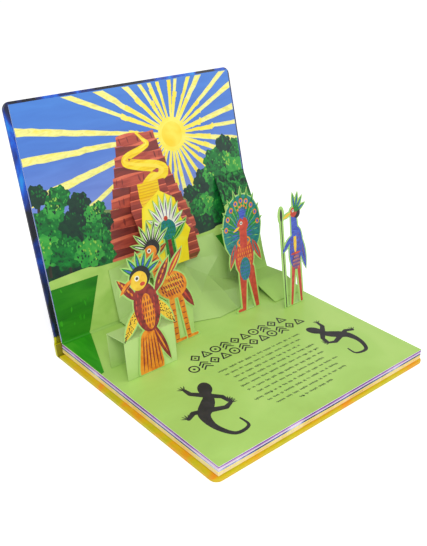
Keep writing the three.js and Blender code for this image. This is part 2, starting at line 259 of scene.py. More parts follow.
# %% The inks
INK_TONES = {
    "ray": ([(232, 224, 120), (250, 244, 150), (244, 232, 96)], 90, (1, 3, 1)),
    "glow": ([(250, 226, 60), (252, 240, 110)], 70),
    "sun": ([(252, 214, 40), (255, 236, 90)], 50),
    "brick": ([(150, 58, 50), (178, 74, 60), (196, 88, 70)], 45, (1, 5, 1)),
    "brick_dark": ([(110, 44, 42), (140, 56, 50)], 60, (1, 4, 1)),
    "brick_light": ([(212, 96, 72), (232, 122, 92)], 60, (1, 5, 1)),
    "road": ([(238, 190, 20), (250, 216, 20), (252, 232, 60)], 50, (1, 6, 1)),
    "far_green": ([(92, 128, 92), (128, 150, 84)], 80),
    "tree": ([(6, 70, 34), (10, 110, 46), (22, 138, 54)], 130, (1, 1.5, 1)),
    "tree_dark": ([(14, 40, 40), (18, 66, 44)], 110),
    "tree_light": ([(28, 140, 56), (72, 176, 70)], 150),
    "bark": ([(40, 34, 32), (70, 62, 58)], 200, (1, 0.3, 1)),
    "meadow": ([(160, 202, 92), (186, 218, 118)], 40),
    "field": ([(16, 104, 6), (30, 128, 8), (48, 142, 18)], 30, (0.6, 3, 1)),
    "lawn": ([(30, 136, 8), (44, 156, 14), (66, 168, 30)], 26, (3, 0.5, 1)),
    "black": ([(22, 20, 22), (44, 40, 42)], 120),
    "pen": ([(44, 66, 34), (60, 84, 44)], 300),
    "maroon": ([(104, 30, 36), (138, 42, 42), (156, 54, 46)], 160),
    "orange": ([(206, 100, 14), (232, 136, 26), (240, 158, 48)], 140),
    "red": ([(180, 50, 40), (214, 78, 54)], 150),
    "yellow": ([(228, 176, 36), (248, 212, 62)], 150),
    "white": ([(226, 222, 206), (248, 246, 236)], 100),
    "green": ([(10, 104, 38), (34, 146, 52)], 160, (1, 4, 1)),
    "lime": ([(120, 180, 60), (160, 208, 84)], 160),
    "teal": ([(8, 96, 104), (34, 142, 138)], 170, (1, 4, 1)),
    "blue": ([(48, 66, 168), (78, 104, 208)], 160, (1, 4, 1)),
    "violet": ([(74, 52, 110), (112, 84, 150)], 160),
}
INKS = {name: painted(name + "_ink", *recipe) for name, recipe in INK_TONES.items()}
print(len(INKS), "inks")

# %% [markdown]
# A print could be one texture for the whole page. Here it is built as ink really lies: thin closed
# patches on the paper, later colours over earlier ones, which stay sharp and bend with their card.
# Each patch is an outline in the plane of the page. A press gives it a hair of thickness, a layer's
# height above the paper, and a UV place so that brush strokes follow the page.

# %% Outlines
LEAF_BELLY = 0.45


def ellipse(x, y, rx, ry, turn=0, points=26):
    t = math.radians(turn)
    ring = []
    for i in range(points):
        a = 2 * math.pi * i / points
        u = rx * math.cos(a)
        v = ry * math.sin(a)
        ring.append((x + u * math.cos(t) - v * math.sin(t), y + u * math.sin(t) + v * math.cos(t)))
    return ring


def arc(x, y, r, start, end, points):
    angles = [start + (end - start) * i / (points - 1) for i in range(points)]
    return [(x + r * math.cos(a), y + r * math.sin(a)) for a in angles]


def limb(x0, y0, r0, x1, y1, r1):
    """A stroke with round ends, of radius r0 at its start and r1 at its end."""
    along = math.atan2(y1 - y0, x1 - x0)
    spread = math.acos((r0 - r1) / math.hypot(x1 - x0, y1 - y0))
    start = arc(x0, y0, r0, along + spread, along + 2 * math.pi - spread, 9)
    return start + arc(x1, y1, r1, along - spread, along + spread, 9)


def leaf(x0, y0, x1, y1, width, points=7):
    """A pointed leaf or feather from its base to its tip."""
    length = math.hypot(x1 - x0, y1 - y0)
    ux = (x1 - x0) / length
    uy = (y1 - y0) / length
    ring = []
    for side in (-1, 1):
        for i in range(points):
            t = i / points
            if side > 0:
                t = 1 - t
            along = 2 * t * (1 - t) * LEAF_BELLY + t * t
            across = side * width * 2 * t * (1 - t)
            ring.append((x0 + ux * along * length - uy * across, y0 + uy * along * length + ux * across))
    return ring


def fan(x, y, rx, ry, start, end, count, width):
    """Leaves that spring from one point, their tips on an ellipse."""
    leaves = []
    for i in range(count):
        a = math.radians(start + (end - start) * i / (count - 1))
        leaves.append(leaf(x, y, x + rx * math.cos(a), y + ry * math.sin(a), width))
    return leaves


def trail(points, widths):
    """A band along a line of points, with its own width at each: a road, a tail or a trunk."""
    left = []
    right = []
    for i, (x, y) in enumerate(points):
        xa, ya = points[max(i - 1, 0)]
        xb, yb = points[min(i + 1, len(points) - 1)]
        length = math.hypot(xb - xa, yb - ya)
        nx = -(yb - ya) / length
        ny = (xb - xa) / length
        w = widths[i] / 2
        left.append((x + nx * w, y + ny * w))
        right.append((x - nx * w, y - ny * w))
    return right + left[::-1]


def passing(a, b, c, d, f):
    """A smooth way from b to c, with a before and d after them."""
    bend = 2 * a - 5 * b + 4 * c - d
    turn = 3 * b - a - 3 * c + d
    return 0.5 * (2 * b + (c - a) * f + bend * f * f + turn * f ** 3)


def curve(points, count=24):
    """A smooth line through a few points."""
    line = []
    for k in range(count + 1):
        t = k / count * (len(points) - 1)
        i = min(int(t), len(points) - 2)
        f = t - i
        p0 = points[max(i - 1, 0)]
        p1 = points[i]
        p2 = points[i + 1]
        p3 = points[min(i + 2, len(points) - 1)]
        line.append(tuple(passing(a, b, c, d, f) for a, b, c, d in zip(p0, p1, p2, p3)))
    return line


def taper(start, end, count=25):
    return [start + (end - start) * i / (count - 1) for i in range(count)]


def trimmed(points, x0, x1, y0, y1):
    """Cuts an outline at the edges of the page."""
    for axis, limit, sign in ((0, x0, 1), (0, x1, -1), (1, y0, 1), (1, y1, -1)):
        kept = []
        for i, p in enumerate(points):
            q = points[i - 1]
            p_in = sign * (p[axis] - limit) >= 0
            q_in = sign * (q[axis] - limit) >= 0
            if p_in != q_in:
                t = (limit - q[axis]) / (p[axis] - q[axis])
                kept.append((q[0] + t * (p[0] - q[0]), q[1] + t * (p[1] - q[1])))
            if p_in:
                kept.append(p)
        points = kept
        if len(points) < 3:
            return []
    return points


# %% [markdown]
# Two patches in one plane would flicker, so each patch lies a hair higher than the highest one that
# it may cover. Counting only real neighbours keeps the whole print thinner than a tenth of a
# millimetre, and the book can still shut on it.

# %% The press
INK_HEIGHT = 0.03
INK_STEP = 0.0006
INK_UNDERSIDE = 0.004
SAME_PLACE = 0.01
CUT_MERGE = 1e-7


def clean(points):
    """Drops points that lie on their neighbours, and turns the outline anticlockwise."""
    kept = [p for i, p in enumerate(points) if math.dist(p, points[i - 1]) > SAME_PLACE]
    area = sum(kept[i - 1][0] * p[1] - p[0] * kept[i - 1][1] for i, p in enumerate(kept))
    return kept if area > 0 else kept[::-1]


def stacked(marks):
    """Sorts marks by layer and gives each the number of the level that it is printed on."""
    boxes = []
    levels = []
    ordered = sorted(marks, key=lambda mark: mark[1])
    for _, _, outline in ordered:
        x0 = min(x for x, _ in outline)
        x1 = max(x for x, _ in outline)
        y0 = min(y for _, y in outline)
        y1 = max(y for _, y in outline)
        below = [level for (a0, a1, b0, b1), level in zip(boxes, levels)
                 if a0 < x1 and a1 > x0 and b0 < y1 and b1 > y0]
        boxes.append((x0, x1, y0, y1))
        levels.append(max(below, default=-1) + 1)
    print("print levels", max(levels) + 1)
    return [(level, ink, outline) for level, (ink, _, outline) in zip(levels, ordered)]


def add_object(name, data):
    made = bpy.data.objects.new(name, data)
    bpy.context.scene.collection.objects.link(made)
    return made


def press(name, marks, place, cells=0):
    """Prints marks, each an ink's name, a layer and an outline, as thin closed patches."""
    used = sorted({ink for ink, _, _ in marks})
    mesh = bpy.data.meshes.new(name)
    vertices = []
    faces = []
    inks = []
    uvs = []
    for level, ink, outline in stacked(marks):
        ring = clean(outline)
        if len(ring) < 3:
            continue
        top = INK_HEIGHT + INK_STEP * level
        base = len(vertices)
        count = len(ring)
        for off in (INK_UNDERSIDE, top):
            for x, y in ring:
                vertices.append(place(x, y, off))
                uvs.append((x * MM, y * MM))
        triangles = tessellate_polygon([[Vector((x, y, 0)) for x, y in ring]])
        for a, b, c in triangles:
            pa, pb, pc = ring[a], ring[b], ring[c]
            turn = (pb[0] - pa[0]) * (pc[1] - pa[1]) - (pc[0] - pa[0]) * (pb[1] - pa[1])
            if turn < 0:
                b, c = c, b
            faces.append((base + count + a, base + count + b, base + count + c))
            faces.append((base + a, base + c, base + b))
            inks += [ink, ink]
        for i in range(count):
            j = (i + 1) % count
            faces.append((base + i, base + j, base + count + j, base + count + i))
            inks.append(ink)
    mesh.from_pydata(vertices, [], faces)
    for ink in used:
        mesh.materials.append(INKS[ink])
    mesh.polygons.foreach_set("material_index", [used.index(i) for i in inks])
    layer_uv = mesh.uv_layers.new(name="page")
    for loop in mesh.loops:
        layer_uv.data[loop.index].uv = uvs[loop.vertex_index]
    made = add_object(name, mesh)
    if cells:
        slice_mesh(made, cells)
    return made


def slice_mesh(piece, cell):
    """Cuts a mesh along a lattice, so that it can bend smoothly."""
    data = bmesh.new()
    data.from_mesh(piece.data)
    low = Vector(piece.bound_box[0])
    high = Vector(piece.bound_box[6])
    step = cell * MM
    for axis in range(3):
        normal = Vector((0, 0, 0))
        normal[axis] = 1
        for k in range(math.ceil(low[axis] / step), math.floor(high[axis] / step) + 1):
            at = normal * (k * cell * MM)
            every = data.verts[:] + data.edges[:] + data.faces[:]
            bmesh.ops.bisect_plane(data, geom=every, plane_co=at, plane_no=normal, dist=CUT_MERGE)
    data.to_mesh(piece.data)
    data.free()


# %% [markdown]
# Paper engineering works like a fan: each card is glued to both pages and turns with them. When the
# cover shuts, every point closes towards the lower page by its own share of the angle. Bones or
# shape keys could bend the cards too, but would have to be set up card by card. The blend below
# stores each point's share once, its own angle about the gutter, and serves every card and pose.

# %% Folding with the book
WELD = 1e-6


def fold_share(point):
    angle = math.atan2(point.z - GUTTER.z, GUTTER.y - point.y)
    return min(max(angle / OPENING, 0), 1)


def fold_with_book(piece):
    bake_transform(piece, "back_case", "front_case", start=on_lower(0, -40, 0), end=on_upright(0, 40, 0))
    shares = piece.data.attributes["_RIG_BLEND"].data
    shares.foreach_set("value", [fold_share(v.co) for v in piece.data.vertices])
    return piece


def card_copy(name, material, cell=6, smooth=0, side=None):
    """A card that replaces its CAD node with the same form, cut finely enough to bend."""
    source = frame["nodes"][name]
    mesh = source.data.copy()
    mesh.materials.clear()
    mesh.materials.append(material)
    made = add_object(name + "_card", mesh)
    weld = bmesh.new()
    weld.from_mesh(mesh)
    bmesh.ops.remove_doubles(weld, verts=weld.verts[:], dist=WELD)
    weld.to_mesh(mesh)
    weld.free()
    slice_mesh(made, cell)
    mesh = made.data
    layer_uv = mesh.uv_layers.get("page") or mesh.uv_layers.new(name="page")
    for loop in mesh.loops:
        from_gutter = mesh.vertices[loop.vertex_index].co - GUTTER
        along_page = from_gutter.z if side is None else from_gutter.dot(side)
        layer_uv.data[loop.index].uv = (from_gutter.x, along_page)
    mesh.polygons.foreach_set("use_smooth", [bool(smooth)] * len(mesh.polygons))
    if smooth:
        mesh.set_sharp_from_angle(angle=math.radians(smooth))
    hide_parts(name)
    fold_with_book(made)
    print(name, len(mesh.polygons), "faces")
    return made


# %% [markdown]
# The camera stands to the left of the book and above it, as the photographer did. It could be moved
# until the picture looks right, but the two pages are rectangles of known size, so its place was
# worked out from where their corners fall.

# %% Camera
CAMERA_PLACE = Vector((-0.41655, -0.42462, 0.38566))
CAMERA_FORWARD = Vector((0.59534, 0.66708, -0.44785)).normalized()
CAMERA_UP = Vector((0.28093, 0.34938, 0.89387))
FOCAL_LENGTH = 50.05
right = CAMERA_FORWARD.cross(CAMERA_UP).normalized()
upward = right.cross(CAMERA_FORWARD)
lens = bpy.data.cameras.new("camera")
lens.lens = FOCAL_LENGTH
lens.sensor_width = 36
lens.clip_start = 0.01
camera = add_object("camera", lens)
facing = Matrix((right, upward, -CAMERA_FORWARD)).transposed().to_4x4()
camera.matrix_world = Matrix.Translation(CAMERA_PLACE) @ facing
bpy.context.scene.camera = camera
print("camera", round((CAMERA_PLACE - GUTTER).length / MM), "mm from the gutter")

# %% [markdown]
# A catalogue photograph has soft light from all round and a broad lamp on each side, so paper shows
# its folds and hardly any shadow. The floor is pale, and to the camera alone it glows a little,
# which gives the white ground without putting more light on the book.

# %% Light and floor
LAMP_AIM = Vector((0, 0.05, 0.06))
ROOM_LIGHT = 0.62
FLOOR_GLOW = 0.44
FLOOR_GREY = 0.9
FLOOR_ROUGHNESS = 0.9
FLOOR_HALF = 60
scene = bpy.context.scene
scene.view_settings.view_transform = "Standard"


def soft_lamp(name, place, size, power):
    data = bpy.data.lights.new(name, "AREA")
    data.size = size
    data.energy = power
    lamp = add_object(name, data)
    lamp.location = place
    aim = LAMP_AIM - Vector(place)
    lamp.rotation_euler = aim.to_track_quat("-Z", "Y").to_euler()


soft_lamp("key_lamp", (-0.9, -1.1, 1.5), size=0.9, power=17)
soft_lamp("fill_lamp", (1.4, -1.0, 1.0), size=1.2, power=7)
world = bpy.data.worlds.new("studio")
scene.world = world
world.use_nodes = True
backdrop = world.node_tree.nodes["Background"]
path = node(world.node_tree, "ShaderNodeLightPath")
brightness = node(world.node_tree, "ShaderNodeMapRange")
brightness.inputs["To Min"].default_value = ROOM_LIGHT
brightness.inputs["To Max"].default_value = 1
world.node_tree.links.new(path.outputs["Is Camera Ray"], brightness.inputs["Value"])
world.node_tree.links.new(brightness.outputs["Result"], backdrop.inputs["Strength"])
backdrop.inputs["Color"].default_value = (1, 1, 1, 1)

ground = bpy.data.meshes.new("floor")
corners = [(-1, -1), (1, -1), (1, 1), (-1, 1)]
ground.from_pydata([(x * FLOOR_HALF, y * FLOOR_HALF, 0) for x, y in corners], [], [(0, 1, 2, 3)])
floor = add_object("floor", ground)
floor_finish, floor_tree, floor_shader, _ = start_material("floor", FLOOR_ROUGHNESS)
floor_shader.inputs["Base Color"].default_value = (FLOOR_GREY, FLOOR_GREY, FLOOR_GREY, 1)
floor_shader.inputs["Emission Color"].default_value = (1, 1, 1, 1)
seen = node(floor_tree, "ShaderNodeLightPath").outputs["Is Camera Ray"]
glow = reckon(floor_tree, "MULTIPLY", seen, FLOOR_GLOW)
floor_tree.links.new(glow, floor_shader.inputs["Emission Strength"])
ground.materials.append(floor_finish)
print(len(bpy.data.lights), "lamps")

# %% [markdown]
# The case is board covered with printed, laminated paper. Unwrapped faces would show a seam at
# every edge, and the real colours run over the edges, so a painted field in three dimensions suits
# it: blue strokes on a nearly black front board, yellow with orange patches on the back board.
# The spine's faces that look at the leaves get a second material, a darker olive: painted shade, as they lie
# in shadow.

# %% The case
front_paint = painted(
    "front_board_print",
    [(4, 8, 22), (4, 10, 34), (2, 38, 124), (0, 84, 208), (20, 152, 230)],
    44, (1, 1, 0.4), roughness=0.3, coords="Object", coat=0.25,
)
case_paint = painted(
    "case_print",
    [(192, 186, 0), (204, 194, 0), (222, 184, 0), (240, 148, 12)],
    44, (0.5, 0.8, 2), roughness=0.4, coords="Object", coat=0.05,
)
spine_paint = painted(
    "spine_print",
    [(196, 194, 14), (214, 210, 24), (226, 220, 50)],
    40, (0.4, 1, 1), roughness=0.34, coords="Object", coat=0.2,
)
# Painted shade: a darker olive for the faces of spine and joint that look at the leaves, and for the lower
# groove.
SHADE_TONES = [(112, 110, 4), (140, 134, 8), (158, 150, 12)]
FACING = 0.5
painted_shade = painted("painted_shade", SHADE_TONES, 40, (0.4, 1, 1), roughness=0.5, coords="Object")


def finish_node(name, material):
    slots = frame["nodes"][name].data.materials
    slots.clear()
    slots.append(material)


def shade_inside(mesh):
    """Paints shade on the faces that look at the leaves: they get the darker olive material."""
    mesh.materials.append(painted_shade)
    for face in mesh.polygons:
        face.material_index = 1 if face.normal.y < -FACING else 0


finish_node("front_cover", front_paint)
finish_node("back_cover", case_paint)
finish_node("spine", spine_paint)
spine_mesh = frame["nodes"]["spine"].data
# The spine's inner faces get the painted shade.
shade_inside(spine_mesh)
print("lined faces of the spine", sum(face.material_index for face in spine_mesh.polygons))

# %% [markdown]
# In the groove between spine and front board only the covering is left, so that it can flex. Its lower edge
# is drawn down to the spine's top, because the CAD keeps a gap there. It takes over the front board's turn
# little by little with its height, and so it bends round the spine's top instead of cutting through it. Its
# inner faces get the same painted shade as the spine's. The covering is turned in at head and tail, so the
# painted shade starts further in.

# %% The joint of the case
JOINT_DROP = 0.65
JOINT_FOOT = 0.3
TURN_IN = 2
joint_cloth = card_copy("front_joint", spine_paint, 1.6, smooth=40)
joint_low, joint_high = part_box("front_joint")
joint_shares = joint_cloth.data.attributes["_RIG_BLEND"].data
for vertex, share in zip(joint_cloth.data.vertices, joint_shares):
    height = (vertex.co.z - joint_low.z) / (joint_high.z - joint_low.z)
    share.value = min(max(height, 0), 1)
for vertex in joint_cloth.data.vertices:
    if vertex.co.z < joint_low.z + JOINT_FOOT * MM:
        vertex.co.z -= JOINT_DROP * MM
# Painted shade on the joint's inner faces, but not within TURN_IN of head and tail.
shade_inside(joint_cloth.data)
for face in joint_cloth.data.polygons:
    if not joint_low.x + TURN_IN * MM < face.center.x < joint_high.x - TURN_IN * MM:
        face.material_index = 0

# %% [markdown]
# The same covering crosses the second groove, from the back board to the foot of the spine. It lies
# there as a flat strip, so a prism over four corners is enough, and it stays with the back board.

# %% The lower groove
GROOVE_OVERLAP = 0.3
GROOVE_THICKNESS = 0.4
GROOVE_PLAY = 0.1
GROOVE_END_GAP = 0.2


def closed_prism(name, profile, x0, x1):
    """A solid with the same profile, given as places in the YZ plane, all the way from x0 to x1."""
    count = len(profile)
    vertices = [Vector((x, y, z)) for x in (x0, x1) for y, z in profile]
    faces = [(i, (i + 1) % count, count + (i + 1) % count, count + i) for i in range(count)]
    faces += [tuple(range(count))[::-1], tuple(range(count, 2 * count))]
    mesh = bpy.data.meshes.new(name)
    mesh.from_pydata(vertices, [], faces)
    data = bmesh.new()
    data.from_mesh(mesh)
    bmesh.ops.recalc_face_normals(data, faces=data.faces[:])
    data.to_mesh(mesh)
    data.free()
    return add_object(name, mesh)


back_low, back_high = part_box("back_cover")
spine_low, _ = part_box("spine")
groove_from = back_high.y - GROOVE_OVERLAP * MM
groove_to = spine_low.y - GROOVE_PLAY * MM
groove_foot = GROOVE_PLAY * MM
groove_top = spine_low.z + GROOVE_THICKNESS * MM
groove_profile = [(groove_from, groove_foot), (groove_to, groove_foot),
                  (groove_to, groove_top), (groove_from, groove_top)]
groove_ends = (back_low.x + GROOVE_END_GAP * MM, back_high.x - GROOVE_END_GAP * MM)
groove = closed_prism("groove_covering", groove_profile, *groove_ends)
# The strip is coloured with the painted shade: the darker olive stands for the shadow in the groove.
groove.data.materials.append(painted_shade)
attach(groove, "back_case")
print("groove", round((groove_to - groove_from) / MM, 2), "mm wide")

# %% [markdown]
# The two open pages are one sheet in the hand: sky on the part that stands, grass on the part that
# lies. A ground needs no outline, only colours that change slowly, so it is a shader on the CAD
# page, and the pictures are printed over it.

# %% Page grounds
SKY_FROM = 0.09
SKY_TO = 0.22
SKY_TONES = [(134, 146, 214), (108, 134, 214), (76, 124, 210), (70, 128, 214)]
SKY_STROKES = 0.22


def sky_material():
    material, tree, shader, place = start_material("sky_paper", PAPER_ROUGHNESS, "Object")
    height = rescaled(tree, along_axis(tree, place, "Z"), SKY_FROM, SKY_TO)
    strokes = brush(tree, place, 34, (0.5, 1, 4), (0, 0.2, 0))
    blue = mixed(tree, SKY_STROKES, ramped(tree, height, SKY_TONES), strokes, "OVERLAY")
    ink_and_grain(tree, shader, place, blue)
    return material


def card_paper(name, tones, scale, coords="Object"):
    return painted(name, tones, scale, roughness=PAPER_ROUGHNESS, coords=coords)


def finish_page(name, material, cut_edge, printed_side):
    """Printed paper, with the bare white of the sheet where the knife went through it."""
    finish_node(name, material)
    mesh = frame["nodes"][name].data
    mesh.materials.append(cut_edge)
    for face in mesh.polygons:
        face.material_index = 1 if abs(face.normal.dot(printed_side)) < FACING else 0
    print(name, "has", sum(face.material_index for face in mesh.polygons), "cut faces")


white_edge = painted("cut_edge", [(232, 230, 236), (250, 248, 250)], 90, roughness=0.6, coords="Object")
grass_paper = card_paper("grass_paper", [(166, 204, 96), (174, 214, 106), (184, 220, 116)], 14)
finish_page("upright_page", sky_material(), white_edge, OUT_OF_PAGE)
finish_page("lower_page", grass_paper, white_edge, Vector((0, 0, 1)))

# %% [markdown]
# The two pages are one sheet folded in the gutter. The CAD splits it there, because the cover turns
# about that line, so a narrow strip bridges the fold and bends with it. Its profile lies flat on
# both pages and rounds the corner between them. The prints start just under its two edges.

# %% The gutter fold
FOLD_REACH = 2.2
FOLD_LIFT = 0.06
LOWER_FOLD_REACH = 3
LOWER_FOLD_LIFT = 0.034
FOLD_UNDERSIDE = 0.01
FOLD_END_GAP = 0.2
BEND_LIFT = 0.08
PRINT_FROM = 2
LOWER_PRINT_FROM = 2.9


def gutter_fold():
    """The fold is dark green where lawn and field meet it, and pale between them."""
    material, tree, shader, place = start_material("gutter_paper", PAPER_ROUGHNESS, "Object")
    across = rescaled(tree, along_axis(tree, place, "X"), -PAGE_HALF * MM, PAGE_HALF * MM)
    green = (40, 146, 12)
    pale = (160, 200, 100)
    colour = ramped(tree, across, [(0, green), (0.12, pale), (0.885, green)], sharp=True)
    ink_and_grain(tree, shader, place, colour)
    over = [on_lower(0, -LOWER_FOLD_REACH, LOWER_FOLD_LIFT), on_lower(0, -0.7, BEND_LIFT)]
    over += [on_upright(0, 0.28, 0.3)]
    over += [on_upright(0, 0.9, BEND_LIFT), on_upright(0, FOLD_REACH, FOLD_LIFT)]
    under = [on_lower(0, -LOWER_FOLD_REACH, FOLD_UNDERSIDE), on_lower(0, -0.6, FOLD_UNDERSIDE)]
    under += [on_upright(0, 0.1, 0.12)]
    under += [on_upright(0, 0.8, FOLD_UNDERSIDE), on_upright(0, FOLD_REACH, FOLD_UNDERSIDE)]
    ring = over + under[::-1]
    half = (PAGE_HALF - FOLD_END_GAP) * MM
    made = closed_prism("gutter_fold", [(p.y, p.z) for p in ring], -half, half)
    made.data.materials.append(material)
    return fold_with_book(made)


fold = gutter_fold()
print("gutter fold", len(fold.data.vertices), "corners")

# %% [markdown]
# The upright picture is a sunny land: rays fill the sky, a banded red butte stands in the middle
# with a golden road to its top, and round trees and a meadow close it off. Each motif is a
# function. A ray could be a plain wedge, but a brush leaves uneven edges, so its two sides step in
# and out.

# %% Sky and butte
PRINT_MARGIN = 0.6
SUN = (40, 164)
RAYS = 30
RAY_STEPS = 34
RAY_REACH = 260
BRUSH_LIFTS = 0.16
BUTTE_MIDDLE = -4
BUTTE_FOOT = 50
BUTTE_TOP = 172
UPRIGHT_TOP = PAGE_DEPTH - 1
rng = random.Random(7)
upright_marks = []


def upright(ink, layer, outline, foot=PRINT_FROM):
    cut = trimmed(outline, -PAGE_HALF + PRINT_MARGIN, PAGE_HALF - PRINT_MARGIN, foot, UPRIGHT_TOP)
    if cut:
        upright_marks.append((ink, layer, cut))


def ray(angle, inner, outer, width):
    """A brushed ray, made of dabs that step aside a little as the brush is lifted."""
    ux = math.cos(angle)
    uy = math.sin(angle)
    edge_a = []
    edge_b = []
    step_aside = 0
    for i in range(RAY_STEPS + 1):
        t = i / RAY_STEPS
        r = inner + (outer - inner) * t
        w = width * (0.25 + 0.75 * t) / 2
        if rng.random() < BRUSH_LIFTS:
            step_aside = rng.uniform(-0.3, 0.3) * w
        a = w * rng.uniform(0.86, 1.1) + step_aside
        b = w * rng.uniform(0.86, 1.1) - step_aside
        edge_a.append((SUN[0] + ux * r - uy * a, SUN[1] + uy * r + ux * a))
        edge_b.append((SUN[0] + ux * r + uy * b, SUN[1] + uy * r - ux * b))
    return edge_b + edge_a[::-1]


for k in range(RAYS):
    turn = 2 * math.pi * (k + rng.uniform(-0.16, 0.16)) / RAYS
    upright("ray", 0, ray(turn, 13, RAY_REACH, rng.uniform(9, 14)), BUTTE_FOOT)
    upright("glow", 1, ray(turn, 10, rng.uniform(36, 66), rng.uniform(4, 6)), BUTTE_FOOT)
upright("glow", 2, ellipse(*SUN, 17, 17, points=34))
upright("sun", 3, ellipse(*SUN, 12.5, 12.5, points=34))
print("sun and rays", len(upright_marks), "marks")


# %% [markdown]
# The butte is thirteen bands of rock, dark and light by turns, each with a lit upper edge and a few
# cracks. A single outline filled with stripes would look flat, and here every band is narrower than
# the one below. The road is one band along a smooth line, wide at the foot and narrow at the top.

# %% The butte and its road
def butte_half(h):
    t = (h - BUTTE_FOOT) / (BUTTE_TOP - BUTTE_FOOT)
    return 66 - 46 * t ** 0.8


def stratum(low, high, half_low, half_high, wave):
    """One band of rock, its edges a little uneven."""
    steps = 14
    bottom = []
    top = []
    for i in range(steps + 1):
        u = -1 + 2 * i / steps
        bottom.append((BUTTE_MIDDLE + u * half_low, low + wave * math.sin(3.1 * u + low)))
        top.append((BUTTE_MIDDLE + u * half_high, high + wave * math.sin(3.1 * u + high)))
    return bottom + top[::-1]


far_ridge = curve([(PAGE_HALF, 112), (90, 120), (60, 104), (20, 100),
                   (-30, 104), (-70, 112), (-100, 104), (-PAGE_HALF, 114)])
upright("far_green", 3, [(-PAGE_HALF, BUTTE_FOOT), (PAGE_HALF, BUTTE_FOOT)] + far_ridge)
STRATA = 13
EDGE_WAVE = 1.1
for k in range(STRATA):
    low = BUTTE_FOOT + (BUTTE_TOP - BUTTE_FOOT) * k / STRATA
    high = BUTTE_FOOT + (BUTTE_TOP - BUTTE_FOOT) * (k + 1) / STRATA
    half = butte_half(low)
    half_above = butte_half(high)
    rock = ["brick", "brick_dark"][k % 2]
    upright(rock, 4, stratum(low, high + 0.5, half, half_above + 1.5, EDGE_WAVE))
    upright("brick_light", 5, stratum(high - 1.3, high + 0.4, half_above + 2.2, half_above + 1.8, EDGE_WAVE))
    for _ in range(5):
        x = BUTTE_MIDDLE + rng.uniform(-0.9, 0.9) * half
        upright("brick_dark", 6, leaf(x, high - 1, x + rng.uniform(-2, 2), low + 1, rng.uniform(1, 2.4)))

road = curve([(0, 106), (0, 118), (10, 126), (22, 131), (14, 137), (-6, 142),
              (-20, 147), (-16, 152), (-2, 156), (8, 160), (4, 165), (-3, 173)], 60)
upright("road", 7, trail(road, taper(17, 2.4, len(road))))
upright("sun", 8, trail([(x - 1, y + 0.6) for x, y in road], taper(5, 0.6, len(road))))
print("with the butte", len(upright_marks), "marks")

# %% [markdown]
# A painter's tree is a crown of overlapping dabs on a dark trunk. The crown's outline is a circle
# with soft bumps, and smaller, lighter dabs on its sunny side make it round.

# %% Trees and meadow
CROWN_POINTS = 48
NEXT_LIGHTER = {"tree_dark": "tree", "tree": "tree_light", "tree_light": "lime"}


def crown(x, y, r, seed):
    shift = random.Random(seed).uniform(0, 6)
    ring = []
    for i in range(CROWN_POINTS):
        a = 2 * math.pi * i / CROWN_POINTS
        swell = 1 + 0.10 * math.sin(7 * a + shift) + 0.05 * math.sin(17 * a + 2 * shift)
        ring.append((x + r * swell * math.cos(a), y + 0.92 * r * swell * math.sin(a)))
    return ring


def round_tree(x, y, r, ink, layer):
    trunk = [(x - 1, y - 1.5 * r), (x, y - 0.8 * r), (x + 0.5, y)]
    upright("bark", layer, trail(trunk, [3.4, 2.4, 1.4]))
    upright(ink, layer + 1, crown(x, y, r, x * y))
    for _ in range(int(2.2 * r)):
        a = rng.uniform(0, 2 * math.pi)
        d = r * math.sqrt(rng.random()) * 0.86
        size = rng.uniform(0.9, 2.0)
        dab_x = x + d * math.cos(a)
        dab_y = y + 0.9 * d * math.sin(a)
        sunny = dab_x - x + dab_y - y > -0.2 * r
        dab = leaf(dab_x, dab_y, dab_x + size * rng.uniform(-1, 1), dab_y + size * 1.6, size)
        upright(NEXT_LIGHTER[ink] if sunny else "tree_dark", layer + 2, dab)


left_wood = curve([(-52, 84), (-66, 102), (-84, 94), (-96, 104), (-110, 98), (-PAGE_HALF, 112)], 40)
right_wood = curve([(PAGE_HALF, 128), (112, 120), (96, 126), (82, 112), (66, 116), (46, 92)], 40)
upright("tree_dark", 6, [(-PAGE_HALF, 54), (-58, 54)] + left_wood)
upright("tree_dark", 6, [(54, 54), (PAGE_HALF, 54)] + right_wood)
TREES = [
    (-118, 136, 11, "tree_dark"), (-97, 130, 12, "tree"), (-78, 120, 12, "tree_dark"),
    (-112, 108, 18, "tree"), (-86, 100, 17, "tree_dark"), (-68, 92, 13, "tree"),
    (-120, 86, 16, "tree_light"), (-100, 80, 17, "tree"), (-78, 74, 15, "tree_light"),
    (-104, 122, 10, "tree_light"), (-60, 84, 9, "tree"), (-66, 108, 9, "tree_light"),
    (60, 100, 10, "tree"), (80, 116, 10, "tree_light"), (102, 126, 10, "tree_light"),
    (122, 134, 14, "tree"), (104, 142, 11, "tree_dark"), (88, 128, 14, "tree"),
    (72, 110, 15, "tree_dark"), (112, 112, 17, "tree_light"), (92, 100, 18, "tree"),
    (68, 86, 13, "tree_light"), (116, 84, 18, "tree_dark"), (88, 76, 16, "tree"),
    (-56, 98, 10, "tree_dark"), (-62, 68, 12, "tree"), (-58, 112, 7, "tree"),
    (50, 102, 9, "tree_dark"), (56, 86, 10, "tree"), (62, 66, 12, "tree_dark"),
]
for k, (x, y, r, ink) in enumerate(TREES):
    round_tree(x, y, r, ink, 7 + k % 3)

